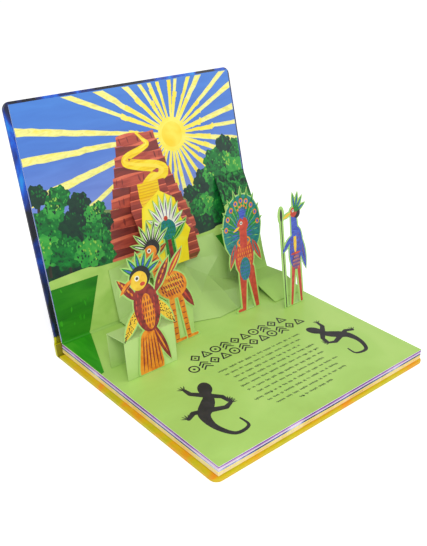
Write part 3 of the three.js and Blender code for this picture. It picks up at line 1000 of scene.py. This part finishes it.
FIELD_TOP = 51
MEADOW_TOP = 61
meadow_edge = curve([(PAGE_HALF, 60), (80, MEADOW_TOP), (60, 58),
                     (-60, 58), (-84, MEADOW_TOP), (-PAGE_HALF, 59)])
upright("meadow", 13, [(-PAGE_HALF, FIELD_TOP), (PAGE_HALF, FIELD_TOP)] + meadow_edge)
upright("field", 14, [(-PAGE_HALF, 0), (PAGE_HALF, 0),
                      (PAGE_HALF, FIELD_TOP), (-PAGE_HALF, FIELD_TOP)])
upright("meadow", 15, [(-95, 0), (97, 0), (70, 56), (-72, 55)])
for _ in range(70):
    x = rng.uniform(-122, 122)
    y = rng.uniform(3, 46)
    if abs(x) > 100 - 0.42 * y:
        upright("lawn", 15, leaf(x, y, x + rng.uniform(-2, 2), y + rng.uniform(3, 7), 1.6))
upright_print = press("upright_picture", upright_marks, on_upright)
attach(upright_print, "front_case")
print("upright marks", len(upright_marks), "faces", len(upright_print.data.polygons))

# %% [markdown]
# The lower page carries two bright lawns by the gutter, a double row of plain ornaments, eleven
# rows of wavy pen lines and two black lizards. All of it is drawn with the same few outlines.

# %% The lower page
lower_marks = []


def lower(ink, layer, outline):
    cut = trimmed(outline, -PAGE_HALF + PRINT_MARGIN, PAGE_HALF - PRINT_MARGIN,
                  -PAGE_DEPTH + PRINT_MARGIN, -LOWER_PRINT_FROM)
    if cut:
        lower_marks.append((ink, layer, cut))


lower("lawn", 0, [(-PAGE_HALF, 0), (-94, 0), (-121, -63), (-PAGE_HALF, -64)])
lower("lawn", 0, [(PAGE_HALF, 0), (94, 0), (119, -58), (PAGE_HALF, -60)])
print("lawns", len(lower_marks))

# %% [markdown]
# Four plain ornaments follow each other in two rows. Each is a closed or an open run of pen
# strokes, and a stroke is a limb with nearly the same radius at both ends.

# %% Ornaments
ORNAMENT_SIZE = 4.6
ORNAMENT_STEP = 12
STROKE = 0.75


def diamond(x, y, r):
    return [(x - r, y), (x, y - r), (x + r, y), (x, y + r)]


def drawn(corners, closed=True):
    """A line drawn with a broad pen from corner to corner."""
    ends = corners[1:] + corners[:1] if closed else corners[1:]
    for (xa, ya), (xb, yb) in zip(corners, ends):
        lower("black", 2, limb(xa, ya, STROKE, xb, yb, STROKE - 0.01))


def ornament(kind, x, y, r):
    if kind == 0:
        drawn(diamond(x, y, r))
        lower("black", 2, diamond(x, y, r * 0.34))
    elif kind == 1:
        drawn([(x - r, y - 0.8 * r), (x + r, y - 0.8 * r), (x, y + r)])
        lower("black", 2, ellipse(x, y - 0.25 * r, r * 0.2, r * 0.2, points=10))
    elif kind == 2:
        drawn(ellipse(x, y, r, r, points=16))
        lower("black", 2, ellipse(x, y, r * 0.3, r * 0.3, points=12))
    else:
        for rise in (-0.8, 0, 0.8):
            low = y + (rise - 0.5) * r
            drawn([(x - r, low), (x, y + (rise + 0.3) * r), (x + r, low)], closed=False)


for row, (y, count) in enumerate(((-96, 10), (-109, 12))):
    for k in range(count):
        ornament((k + 2 * row) % 4, 8 + (k - (count - 1) / 2) * ORNAMENT_STEP, y, ORNAMENT_SIZE)
print("with the ornaments", len(lower_marks), "marks")

# %% [markdown]
# Rows of wavy pen lines fill the middle of the page. A noise could be cut into such rows, but a pen
# leaves strokes of one width with gaps between them. So each is a trail through the points of a
# wave, whose lengths and heights are drawn at random.

# %% Pen lines
LINES = 11
FIRST_LINE = -126
LINE_STEP = 7
LINE_GAP = 2.2
LINE_MIDDLE = 4
WAVE = 1.5
WAVE_HEIGHT = 1.5
PEN = 0.62


def scribble(x, y, waves):
    """A short wavy line, drawn with a fine pen."""
    line = []
    for i in range(4 * waves + 1):
        tall = WAVE_HEIGHT * rng.choice((0.5, 0.5, 0.62, 1))
        line.append((x + WAVE * i / 4 + rng.uniform(-0.1, 0.1), y + (0, tall, 0, -tall)[i % 4]))
    lower("pen", 2, trail(line, [PEN] * len(line)))


for k in range(LINES):
    half = rng.uniform(40, 52) if k < LINES - 1 else 20
    x = LINE_MIDDLE - half
    while x < LINE_MIDDLE + half - 3:
        waves = rng.randint(2, 7)
        scribble(x, FIRST_LINE - k * LINE_STEP, waves)
        x += waves * WAVE + LINE_GAP
print("with the pen lines", len(lower_marks), "marks")

# %% [markdown]
# A lizard seen from above could be one long outline, set point by point, but it would look stiff.
# It is one trail whose girth changes along a smooth back line, an ellipse for its head, and legs of
# two limbs each. Turned, scaled and mirrored, the same drawing serves twice.

# %% Lizards
BACK_LINE = [(0, 22), (0, 16), (1, 8), (-1, 0), (-3, -8), (2, -18), (12, -24), (20, -18), (16, -11)]
BACK_POINTS = 40
GIRTHS = [3, 7, 5.5, 8, 9, 7, 4.4, 3.2, 2.4, 1.8, 1.2]
LAST_GIRTH = len(GIRTHS) - 1
POINTS_PER_GIRTH = BACK_POINTS / LAST_GIRTH
LEGS = ((-1, 11, 9, 17), (1, 11, 9, 5), (-1, -3, 9, -10), (1, -3, 10, 3))


def girth(i):
    """How broad the body is at one point of the back, between two of the girths."""
    part = int(i / POINTS_PER_GIRTH)
    after = min(part + 1, LAST_GIRTH)
    past = i / POINTS_PER_GIRTH - part
    return GIRTHS[part] * (1 - past) + GIRTHS[after] * past


def lizard(x, y, turn, size, mirror=1):
    """A lizard seen from above: a curved back, four bent legs with toes, and a curled tail."""
    t = math.radians(turn)

    def place(points):
        spun = []
        for u, v in points:
            u *= size * mirror
            v *= size
            spun.append((x + u * math.cos(t) - v * math.sin(t), y + u * math.sin(t) + v * math.cos(t)))
        return spun

    widths = [girth(i) for i in range(BACK_POINTS + 1)]
    lower("black", 2, place(trail(curve(BACK_LINE, BACK_POINTS), widths)))
    lower("black", 2, place(ellipse(0, 17.5, 4.4, 6.4)))
    for side, hip, reach, foot in LEGS:
        knee = (side * reach, hip + (2 if foot > hip else -2))
        end = (side * (reach + 3), foot)
        lower("black", 2, place(limb(0, hip, 2.2, *knee, 1.7)))
        lower("black", 2, place(limb(*knee, 1.7, *end, 1.2)))
        toes_from, toes_to = (90, 180) if side < 0 else (20, 90)
        for toe in fan(*end, 4.5, 4.5, toes_from, toes_to, 4, 0.8):
            lower("black", 2, place(toe))


lizard(-84, -158, -34, 1.45)
lizard(84, -150, 30, 1.25, -1)
lower_print = press("lower_picture", lower_marks, on_lower)
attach(lower_print, "back_case")
print("lower marks", len(lower_marks))

# %% [markdown]
# Under the open page lies a block of leaves, each printed to its edge, so the block shows as thin
# coloured lines with dark gaps. Stripes painted on one solid would look flat where the light grazes
# them, so every leaf is a closed slab whose gap to the next one swells and narrows along its edge,
# as leaves that hold folded card do.

# %% The block of leaves
LEAF_EDGES = [
    ("leaf_peach", 0.4, [(110, 44, 40), (246, 176, 122), (250, 196, 136), (255, 224, 176)]),
    ("leaf_cream", 1.2, [(255, 232, 110), (255, 246, 180)]),
    ("leaf_salmon", 0.4, [(196, 96, 96), (246, 176, 150), (255, 226, 210), (255, 226, 210)]),
    ("leaf_straw", 1.4, [(252, 228, 84), (255, 244, 150)]),
    ("leaf_sky", 0.4, [(150, 180, 230), (236, 236, 250)]),
    # The dark leaf's two blackest tones are painted shade, patches that stand for the shadow in the gaps
    # between leaves; its other tones are its own colour.
    ("leaf_dark_and_gap_shade", 0.95, [(6, 6, 18), (10, 10, 34), (70, 80, 160), (214, 212, 240)]),
    ("leaf_white", 1.1, [(214, 206, 240), (244, 240, 252)]),
    ("leaf_rose", 0.7, [(184, 130, 204), (238, 208, 238)]),
    ("leaf_plum", 0.5, [(54, 18, 76), (150, 100, 190), (230, 214, 240)]),
    ("leaf_purple", 1.2, [(100, 36, 134), (150, 80, 190)]),
]
LEAF_SETBACKS = [0.3, 0.1, 0.3, 0.1, 0.3, 0.2, 0.1, 0.2, 0.3, 0.1]
LEAF_SHARE = 0.72
EVEN_GAP = 1.15
SWELL_ALONG = 0.021
SWELL_ACROSS = 0.017
block_low, block_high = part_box("page_block")


def leaf_gaps(x, y, count):
    """How the free height is shared out between the leaves at one place."""
    weights = []
    for i in range(count):
        swell = math.sin(SWELL_ALONG * x * (1 + 0.3 * i) + 1.7 * i) * math.cos(SWELL_ACROSS * y + i)
        weights.append(EVEN_GAP + swell)
    total = sum(weights)
    return [w / total for w in weights]


def leaf_block():
    """Closed slabs, one on the other, each set back by its own bit on each of three open sides."""
    count = len(LEAF_EDGES)
    height = (block_high.z - block_low.z) / MM
    share = [weight for _, weight, _ in LEAF_EDGES]
    thick = [height * LEAF_SHARE * weight / sum(share) for weight in share]
    free = height * (1 - LEAF_SHARE)
    columns = 36
    rows = 30
    vertices = []
    faces = []
    tones = []
    for i in range(count):
        left = block_low.x / MM + LEAF_SETBACKS[i]
        right_end = block_high.x / MM - LEAF_SETBACKS[i - 3]
        fore = block_low.y / MM + LEAF_SETBACKS[i - 6]
        back = block_high.y / MM
        base = len(vertices)
        for level in (0, 1):
            for r in range(rows + 1):
                y = fore + (back - fore) * r / rows
                for c in range(columns + 1):
                    x = left + (right_end - left) * c / columns
                    gaps = leaf_gaps(x, y, count)
                    z = block_low.z / MM + sum(thick[:i + level]) + free * sum(gaps[:i + 1])
                    vertices.append(Vector((x, y, z)) * MM)
        wide = columns + 1
        upper = wide * (rows + 1)
        for r in range(rows):
            for c in range(columns):
                a = base + r * wide + c
                faces.append((a, a + wide, a + wide + 1, a + 1))
                faces.append((a + upper, a + upper + 1, a + upper + wide + 1, a + upper + wide))
                tones += [i, i]
        rim = list(range(wide))
        rim += [r * wide + columns for r in range(1, rows + 1)]
        rim += [rows * wide + c for c in range(columns - 1, -1, -1)]
        rim += [r * wide for r in range(rows - 1, 0, -1)]
        for k, a in enumerate(rim):
            b = rim[(k + 1) % len(rim)]
            faces.append((base + a, base + b, base + upper + b, base + upper + a))
            tones.append(i)
    mesh = bpy.data.meshes.new("leaves")
    mesh.from_pydata(vertices, [], faces)
    for name, _, colours in LEAF_EDGES:
        mesh.materials.append(painted(name, colours, 26, (1, 1, 0.2), roughness=0.6, coords="Object"))
    mesh.polygons.foreach_set("material_index", tones)
    made = add_object("leaves", mesh)
    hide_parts("page_block")
    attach(made, "back_case")
    return made


leaves = leaf_block()
print("leaf block faces", len(leaves.data.polygons))

# %% [markdown]
# The raised ground and the steps are green card, scored and folded. Modelling them again would risk
# other creases than the CAD's, so copies of its meshes are cut into small cells that can bend, and
# the paint is the page's own green, a little mottled.

# %% Ground cards
hill_paper = card_paper("hill_paper", [(158, 192, 104), (174, 208, 118), (192, 222, 142)], 12, "UV")
card_copy("hill_sheet", hill_paper, 8, smooth=5)
card_copy("left_step", hill_paper)
card_copy("middle_step", hill_paper)

# %% [markdown]
# The curved sheet at the right end fades to olive near the lower page, a band of painted shade where the
# sheet curves up from it. It reaches up in front of the picture's trees, so its top carries them too: there
# a shader paints leaf dabs down to a ragged edge.

# %% The curved sheet
SWEEP_ROUGHNESS = 0.7
SWEEP_TOP = 0.105
# The olive stop at 0.2 is painted shade, where the sheet curves up from the lower page.
SWEEP_GREENS_AND_SHADE = [(0, (168, 208, 104)), (0.2, (126, 166, 72)), (0.5, (150, 192, 92)), (1, (172, 206, 112))]
WOODS_FROM = 0.86
WOODS_GREENS = [(0.36, (8, 36, 28)), (0.44, (6, 66, 32)), (0.54, (10, 108, 44)), (0.64, (50, 150, 60))]
RAGGED_EDGE = 0.2


def sweep_material():
    """Green card with painted shade, an olive band, where it nears the lower page, and the picture's trees
    on its upper part.
    """
    material, tree, shader, place = start_material("sweep_paper", SWEEP_ROUGHNESS)
    height = rescaled(tree, along_axis(tree, place, "Y"), 0, SWEEP_TOP)
    dabs = brush(tree, place, 190, (1, 1, 1), detail=6, distortion=1.2)
    ragged = reckon(tree, "MULTIPLY_ADD", dabs, RAGGED_EDGE, height)
    wooded = reckon(tree, "GREATER_THAN", ragged, WOODS_FROM)
    colour = mixed(tree, wooded, ramped(tree, height, SWEEP_GREENS_AND_SHADE), ramped(tree, dabs, WOODS_GREENS))
    ink_and_grain(tree, shader, place, colour)
    return material


card_copy("right_sweep", sweep_material(), 8, smooth=30)

# %% [markdown]
# The stairs are red card with a golden flight in the middle. Bands and treads repeat up the card,
# so the shader draws them from the card's own place on the page, and they stay sharp at any
# distance.

# %% The stairs
STAIR_BAND = 0.0085
TREADS_IN_BAND = 3
FLIGHT_HALF = 0.0125
STAIR_WEAR = 0.25
BRICK_TONES = [(0, (150, 60, 54)), (0.45, (168, 70, 58)), (0.8, (232, 120, 92)), (0.93, (120, 48, 44))]
GOLD_TONES = [(0, (250, 218, 16)), (0.55, (246, 206, 10)), (0.86, (228, 178, 14))]
BLACK_TO_WHITE = [(0, (0, 0, 0)), (0.5, (255, 255, 255))]


def stair_material():
    material, tree, shader, place = start_material("stair_paper", PAPER_ROUGHNESS)
    bands = reckon(tree, "DIVIDE", along_axis(tree, place, "Y"), STAIR_BAND)
    bricks = ramped(tree, reckon(tree, "FRACT", bands), BRICK_TONES, sharp=True)
    treads = reckon(tree, "FRACT", reckon(tree, "MULTIPLY", bands, TREADS_IN_BAND))
    gold = ramped(tree, treads, GOLD_TONES)
    aside = reckon(tree, "ABSOLUTE", along_axis(tree, place, "X"))
    beside_flight = ramped(tree, rescaled(tree, aside, 0, 2 * FLIGHT_HALF), BLACK_TO_WHITE, sharp=True)
    stairs = mixed(tree, beside_flight, gold, bricks)
    wear = brush(tree, place, 70, (1, 4, 1))
    ink_and_grain(tree, shader, place, mixed(tree, STAIR_WEAR, stairs, wear, "OVERLAY"))
    return material


card_copy("stair_ramp", stair_material(), 6, smooth=14, side=UP_PAGE)
sun_paper = card_paper("sun_paper", [(244, 212, 16), (250, 226, 30), (252, 234, 70)], 40, "UV")
card_copy("sun_card", sun_paper, 5)

# %% [markdown]
# Die-cut figures are printed on one side and cut a little outside their outline, which leaves a
# thin pale-green rim. The card is the CAD's own shape. The print repeats that shape without the rim
# and adds what the knife leaves out: feathers, spots, beaks and eyes.

# %% Figures
figure_paper = card_paper("figure_paper", [(158, 204, 104), (176, 214, 122)], 30, "UV")
marks = []


def ink(name, layer, *outlines):
    for outline in outlines:
        marks.append((name, layer, outline))


def feathers(name, layer, x, y, rx, ry, rows, length, width, fall=-90):
    """Rows of small overlapping feathers within an ellipse."""
    a = math.radians(fall)
    for r in range(rows):
        v = 0.8 - 1.6 * r / max(rows - 1, 1)
        half = rx * math.sqrt(1 - v * v) * 0.86
        count = max(1, int(2 * half / (width * 1.5)))
        for k in range(count):
            root_x = x + (0 if count == 1 else -half + 2 * half * k / (count - 1))
            root_y = y + v * ry
            tip = (root_x + length * math.cos(a), root_y + length * math.sin(a))
            ink(name, layer, leaf(root_x, root_y, *tip, width))


def spots(name, layer, x0, y0, x1, y1, width, count, size):
    """Spots scattered down a leaf-shaped wing."""
    length = math.hypot(x1 - x0, y1 - y0)
    ux = (x1 - x0) / length
    uy = (y1 - y0) / length
    for k in range(count):
        t = (k + 0.5) / count
        v = rng.uniform(-0.85, 0.85) * width * 2 * t * (1 - t)
        spot_x = x0 + ux * t * length - uy * v
        spot_y = y0 + uy * t * length + ux * v
        ink(name, layer, ellipse(spot_x, spot_y, size, size * 0.8, points=10))


def eye(layer, x, y, size):
    ink("white", layer, ellipse(x, y, size, size, points=16))
    ink("black", layer + 1, ellipse(x, y, size * 0.55, size * 0.55, points=12))


def vein(name, layer, x0, y0, x1, y1, width):
    ink(name, layer, leaf(x0, y0, x1, y1, width, 4))


def rays_of(name, layer, x, y, inner, outer, start, end, count, width):
    """Veins that run out from one point, each from an inner to an outer ellipse."""
    for k in range(count):
        a = math.radians(start + (end - start) * k / (count - 1))
        vein(name, layer, x + inner[0] * math.cos(a), y + inner[1] * math.sin(a),
             x + outer[0] * math.cos(a), y + outer[1] * math.sin(a), width)


def above(height, outline):
    """The part of an outline over a height: nothing is printed below a card's foot."""
    return trimmed(outline, -90, 90, height, 200)


def stand(node_name, foot_x):
    """Prints the collected marks on a standing figure, and gives it its card."""
    card_copy(node_name, figure_paper)
    made = press(node_name.replace("_cutout", "_print"), list(marks), on_card(foot_x, node_name), cells=6)
    fold_with_book(made)
    print(made.name, len(marks), "marks")
    marks.clear()


def middle_of(name):
    low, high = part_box(name)
    return (low.x + high.x) / 2 / MM


# %% [markdown]
# The parrot is layers of simple shapes: a tail, spotted wings, a body with rows of small feathers,
# a crest and a round face. Later layers cover earlier ones, as inks do.

# %% The parrot in front
ink("orange", 1, above(0.6, limb(-1, 4, 13, -1, 32, 9)))
for k in range(6):
    ink("maroon", 2, above(0.6, leaf(-10 + 4 * k, 0.6, -7 + 2.6 * k, 36, 1.4)))
ink("maroon", 3, leaf(4, 44, 20, 4, 7))
vein("orange", 4, 5, 40, 17, 12, 1.6)
for tip, base, width in (((-27, 92), (-8, 68), 8), ((27, 98), (9, 70), 8)):
    ink("maroon", 3, leaf(*base, *tip, width))
    for k in range(5):
        t = 0.25 + 0.14 * k
        x = base[0] + (tip[0] - base[0]) * t
        y = base[1] + (tip[1] - base[1]) * t
        ink("orange", 4, leaf(x, y, x + (tip[0] - base[0]) * 0.12, y + 4, 1.6))
for tip, base in (((27, 38), (8, 66)), ((-26, 36), (-7, 64))):
    ink("yellow", 3, leaf(*base, *tip, 9))
    spots("black", 4, *base, *tip, 9, 54, 0.62)
ink("maroon", 5, ellipse(0, 60, 13, 23, 8))
ink("orange", 6, ellipse(1, 56, 6, 17, 6))
feathers("maroon", 7, 1, 58, 6, 16, 6, 4.4, 1.2)
feathers("red", 6, -8, 62, 3, 16, 6, 4, 1.2)
feathers("red", 6, 10, 60, 3, 16, 6, 4, 1.2)
ink("green", 5, *fan(-3, 88, 22, 22, 25, 145, 6, 4))
rays_of("blue", 6, -3, 88, (6, 6), (19, 19), 25, 145, 6, 1.5)
ink("black", 6, ellipse(-4, 88, 10.6, 10.2))
ink("yellow", 7, ellipse(-5.5, 85.5, 8.6, 8.4))
ink("orange", 8, leaf(-12, 89, -25, 78, 5))
ink("maroon", 9, leaf(-13, 86, -22, 79, 1.4))
eye(9, -7, 88, 2.4)
ink("red", 8, ellipse(-2, 82, 2.6, 1.8))
stand("parrot_cutout", middle_of("left_step"))

# %% [markdown]
# The crane is all curves: long legs ringed with maroon, a round body, and a crest of white-veined
# feathers. Its neck is one tapered limb, and rings of ellipses make it look round.

# %% The crane in the middle
ink("orange", 1, above(0.5, limb(-6, 0.9, 2.4, -9, 48, 3)), above(0.5, limb(8, 0.9, 2.4, 1, 46, 3)))
for x0, x1 in ((-6, -9), (8, 1)):
    for k in range(7):
        t = 0.08 + 0.13 * k
        x = x0 + (x1 - x0) * t
        ink("maroon", 2, ellipse(x, 46 * t, 2.3, 0.5, points=10))
ink("orange", 1, limb(-6, 2.1, 1.6, 3, 2.1, 1.4), limb(8, 2.1, 1.6, 17, 2.1, 1.4))
ink("maroon", 3, leaf(0, 58, 16, 30, 8))
vein("red", 4, 1, 55, 14, 34, 2)
ink("orange", 4, ellipse(-7, 58, 17, 13, -22))
feathers("maroon", 5, -8, 60, 14, 10, 5, 5, 1.5, -60)
feathers("yellow", 6, -8, 62, 11, 7, 3, 3.4, 1.0, -60)
ink("red", 4, leaf(-12, 66, 7, 90, 6))
vein("yellow", 5, -10, 68, 5, 87, 1.6)
ink("orange", 5, limb(-17, 66, 7, -25, 90, 5))
for k in range(5):
    ink("maroon", 6, ellipse(-17.5 - 1.6 * k, 68 + 4.6 * k, 5.6 - 0.3 * k, 0.8, 20, points=14))
ink("black", 5, *fan(-25, 96, 22, 26, 35, 160, 7, 3))
rays_of("white", 6, -25, 96, (8, 9), (19, 22), 35, 160, 7, 1.1)
ink("black", 6, ellipse(-25, 97, 8.6, 7.6))
ink("orange", 7, ellipse(-27, 94.5, 7, 6.2))
ink("yellow", 8, leaf(-32, 96, -49, 90, 4))
ink("maroon", 9, leaf(-33, 94, -46, 90.5, 1))
eye(9, -28, 96, 2.1)
stand("crane_cutout", middle_of("middle_step"))

# %% [markdown]
# A spread tail is a fan repeated: three rings of fine veins, one inside the other, with a row of
# eyes on the outermost. The body is printed over it last, on higher layers.

# %% The bird with the spread tail
TAIL_X = -6
TAIL_Y = 80
FAN_BIRD_X = 56
ink("red", 1, above(0.5, limb(-9, 1.4, 2.2, -8, 42, 5)), above(0.5, limb(9, 1.4, 2.2, 2, 42, 5)))
ink("red", 1, limb(-9, 2.1, 1.6, -16, 2.1, 1.4))
ink("teal", 1, ellipse(-6, 86, 24, 33))
ink("green", 2, *fan(TAIL_X, TAIL_Y, 27, 46, 15, 165, 9, 5))
for layer, (name, rx, ry) in enumerate((("lime", 25, 42), ("teal", 21, 34), ("blue", 16, 25)), 4):
    rays_of(name, layer, TAIL_X, TAIL_Y, (5, 8), (rx * 0.86, ry * 0.86), -10, 190, 17, 1.3)
for k in range(9):
    a = math.radians(15 + 150 * k / 8)
    spot = (TAIL_X + 21 * math.cos(a), TAIL_Y + 33 * math.sin(a))
    ink("orange", 7, ellipse(*spot, 2.4, 2.8, points=14))
    ink("blue", 8, ellipse(*spot, 1.3, 1.6, points=12))
ink("red", 8, leaf(-16, 72, -24, 48, 6), leaf(6, 72, 17, 48, 6))
vein("teal", 9, -17, 70, -23, 52, 1.8)
vein("teal", 9, 7, 70, 15, 52, 1.8)
ink("red", 8, ellipse(-5, 56, 12, 19))
feathers("orange", 9, -5, 58, 10, 16, 7, 3.8, 1.4)
ink("teal", 10, ellipse(-5, 44, 7, 12))
feathers("blue", 11, -5, 44, 6, 10, 5, 3.4, 1.1)
ink("orange", 10, ellipse(-5, 72, 9, 5))
ink("teal", 11, ellipse(-5, 72.4, 7, 3))
ink("red", 11, limb(-5, 70, 5, -5, 88, 4.4))
ink("red", 12, ellipse(-5, 89, 7, 7.4))
ink("yellow", 13, leaf(-9, 88, -18, 84, 2.6))
eye(13, -7, 91, 1.7)
ink("blue", 12, *fan(-5, 94, 9, 15, 50, 130, 5, 2))
for k in range(5):
    a = math.radians(50 + 20 * k)
    ink("orange", 13, ellipse(-5 + 8.4 * math.cos(a), 94 + 14 * math.sin(a), 1.2, 1.2, points=10))
stand("fan_bird_cutout", FAN_BIRD_X)

# %% [markdown]
# The heron is slim, so its legs, neck and reed are single limbs. The reed is cut from the same
# card.

# %% The heron by its reed
HERON_X = 100
ink("black", 1, above(0.5, limb(-15, 0.6, 0.6, -18, 92, 0.5)))
ink("black", 2, ellipse(-18, 97, 1.6, 6.4))
ink("red", 1, limb(-7, 1.8, 1.4, -3, 42, 2.4), limb(7, 1.8, 1.4, 4, 42, 2.4))
ink("blue", 2, leaf(-3, 74, -18, 58, 5))
ink("blue", 2, leaf(6, 74, 15, 34, 7))
vein("violet", 3, 7, 72, 14, 40, 2.6)
ink("blue", 3, ellipse(1, 60, 9, 21, -6))
feathers("violet", 4, 1, 64, 7, 14, 6, 4, 1.3)
ink("yellow", 4, ellipse(0, 66, 2, 12))
ink("violet", 5, ellipse(1, 46, 6, 9))
feathers("orange", 6, 1, 46, 5, 7, 4, 2.6, 0.8)
ink("red", 5, ellipse(0.4, 54, 7, 1.2))
ink("blue", 4, limb(0, 76, 4.5, -1, 94, 3.6))
ink("black", 4, ellipse(3, 96, 5.2, 6.4, 20))
ink("red", 5, ellipse(-1, 96.5, 4.6, 5))
ink("yellow", 6, leaf(-4, 97, -16, 93, 3))
eye(6, -1.6, 98, 1.4)
ink("green", 5, *fan(1, 96, 15, 20, 20, 100, 4, 3))
rays_of("blue", 6, 1, 96, (5, 6), (13, 17), 20, 100, 4, 1.2)
stand("heron_cutout", HERON_X)

# %% [markdown]
# The last figure is a plant on the yellow card, parallel to the upright page. It is printed the
# same way, but placed from its own card's distance off the page.

# %% The plant on the yellow card
plant_points = frame["nodes"]["fan_plant_cutout"].data.vertices
card_front = max((v.co - GUTTER).dot(OUT_OF_PAGE) for v in plant_points) / MM


def on_plant(x, h, off):
    return on_upright(x, h, card_front + off)


ink("green", 1, above(46.4, limb(-2, 50, 6, -2, 74, 5)))
ink("maroon", 2, above(46.6, limb(-2, 50, 2.4, -2, 70, 2)))
ink("green", 2, leaf(2, 66, 22, 84, 5))
ink("maroon", 2, leaf(-6, 66, -24, 56, 5))
vein("lime", 3, 3, 67, 20, 82, 1.4)
vein("orange", 3, -7, 66, -22, 57, 1.4)
ink("white", 3, *fan(-2, 78, 23, 34, 5, 175, 10, 4))
rays_of("violet", 4, -2, 78, (9, 11), (21, 31), 5, 175, 10, 1.4)
ink("teal", 5, ellipse(-2, 78, 10, 10))
feathers("green", 6, -2, 78, 8, 8, 4, 3.6, 1.4)
ink("red", 6, ellipse(-2, 89, 2.4, 2.4, points=16))
card_copy("fan_plant_cutout", figure_paper, side=UP_PAGE)
plant_print = press("plant_print", list(marks), on_plant, cells=6)
fold_with_book(plant_print)
print("plant_print", len(marks), "marks")
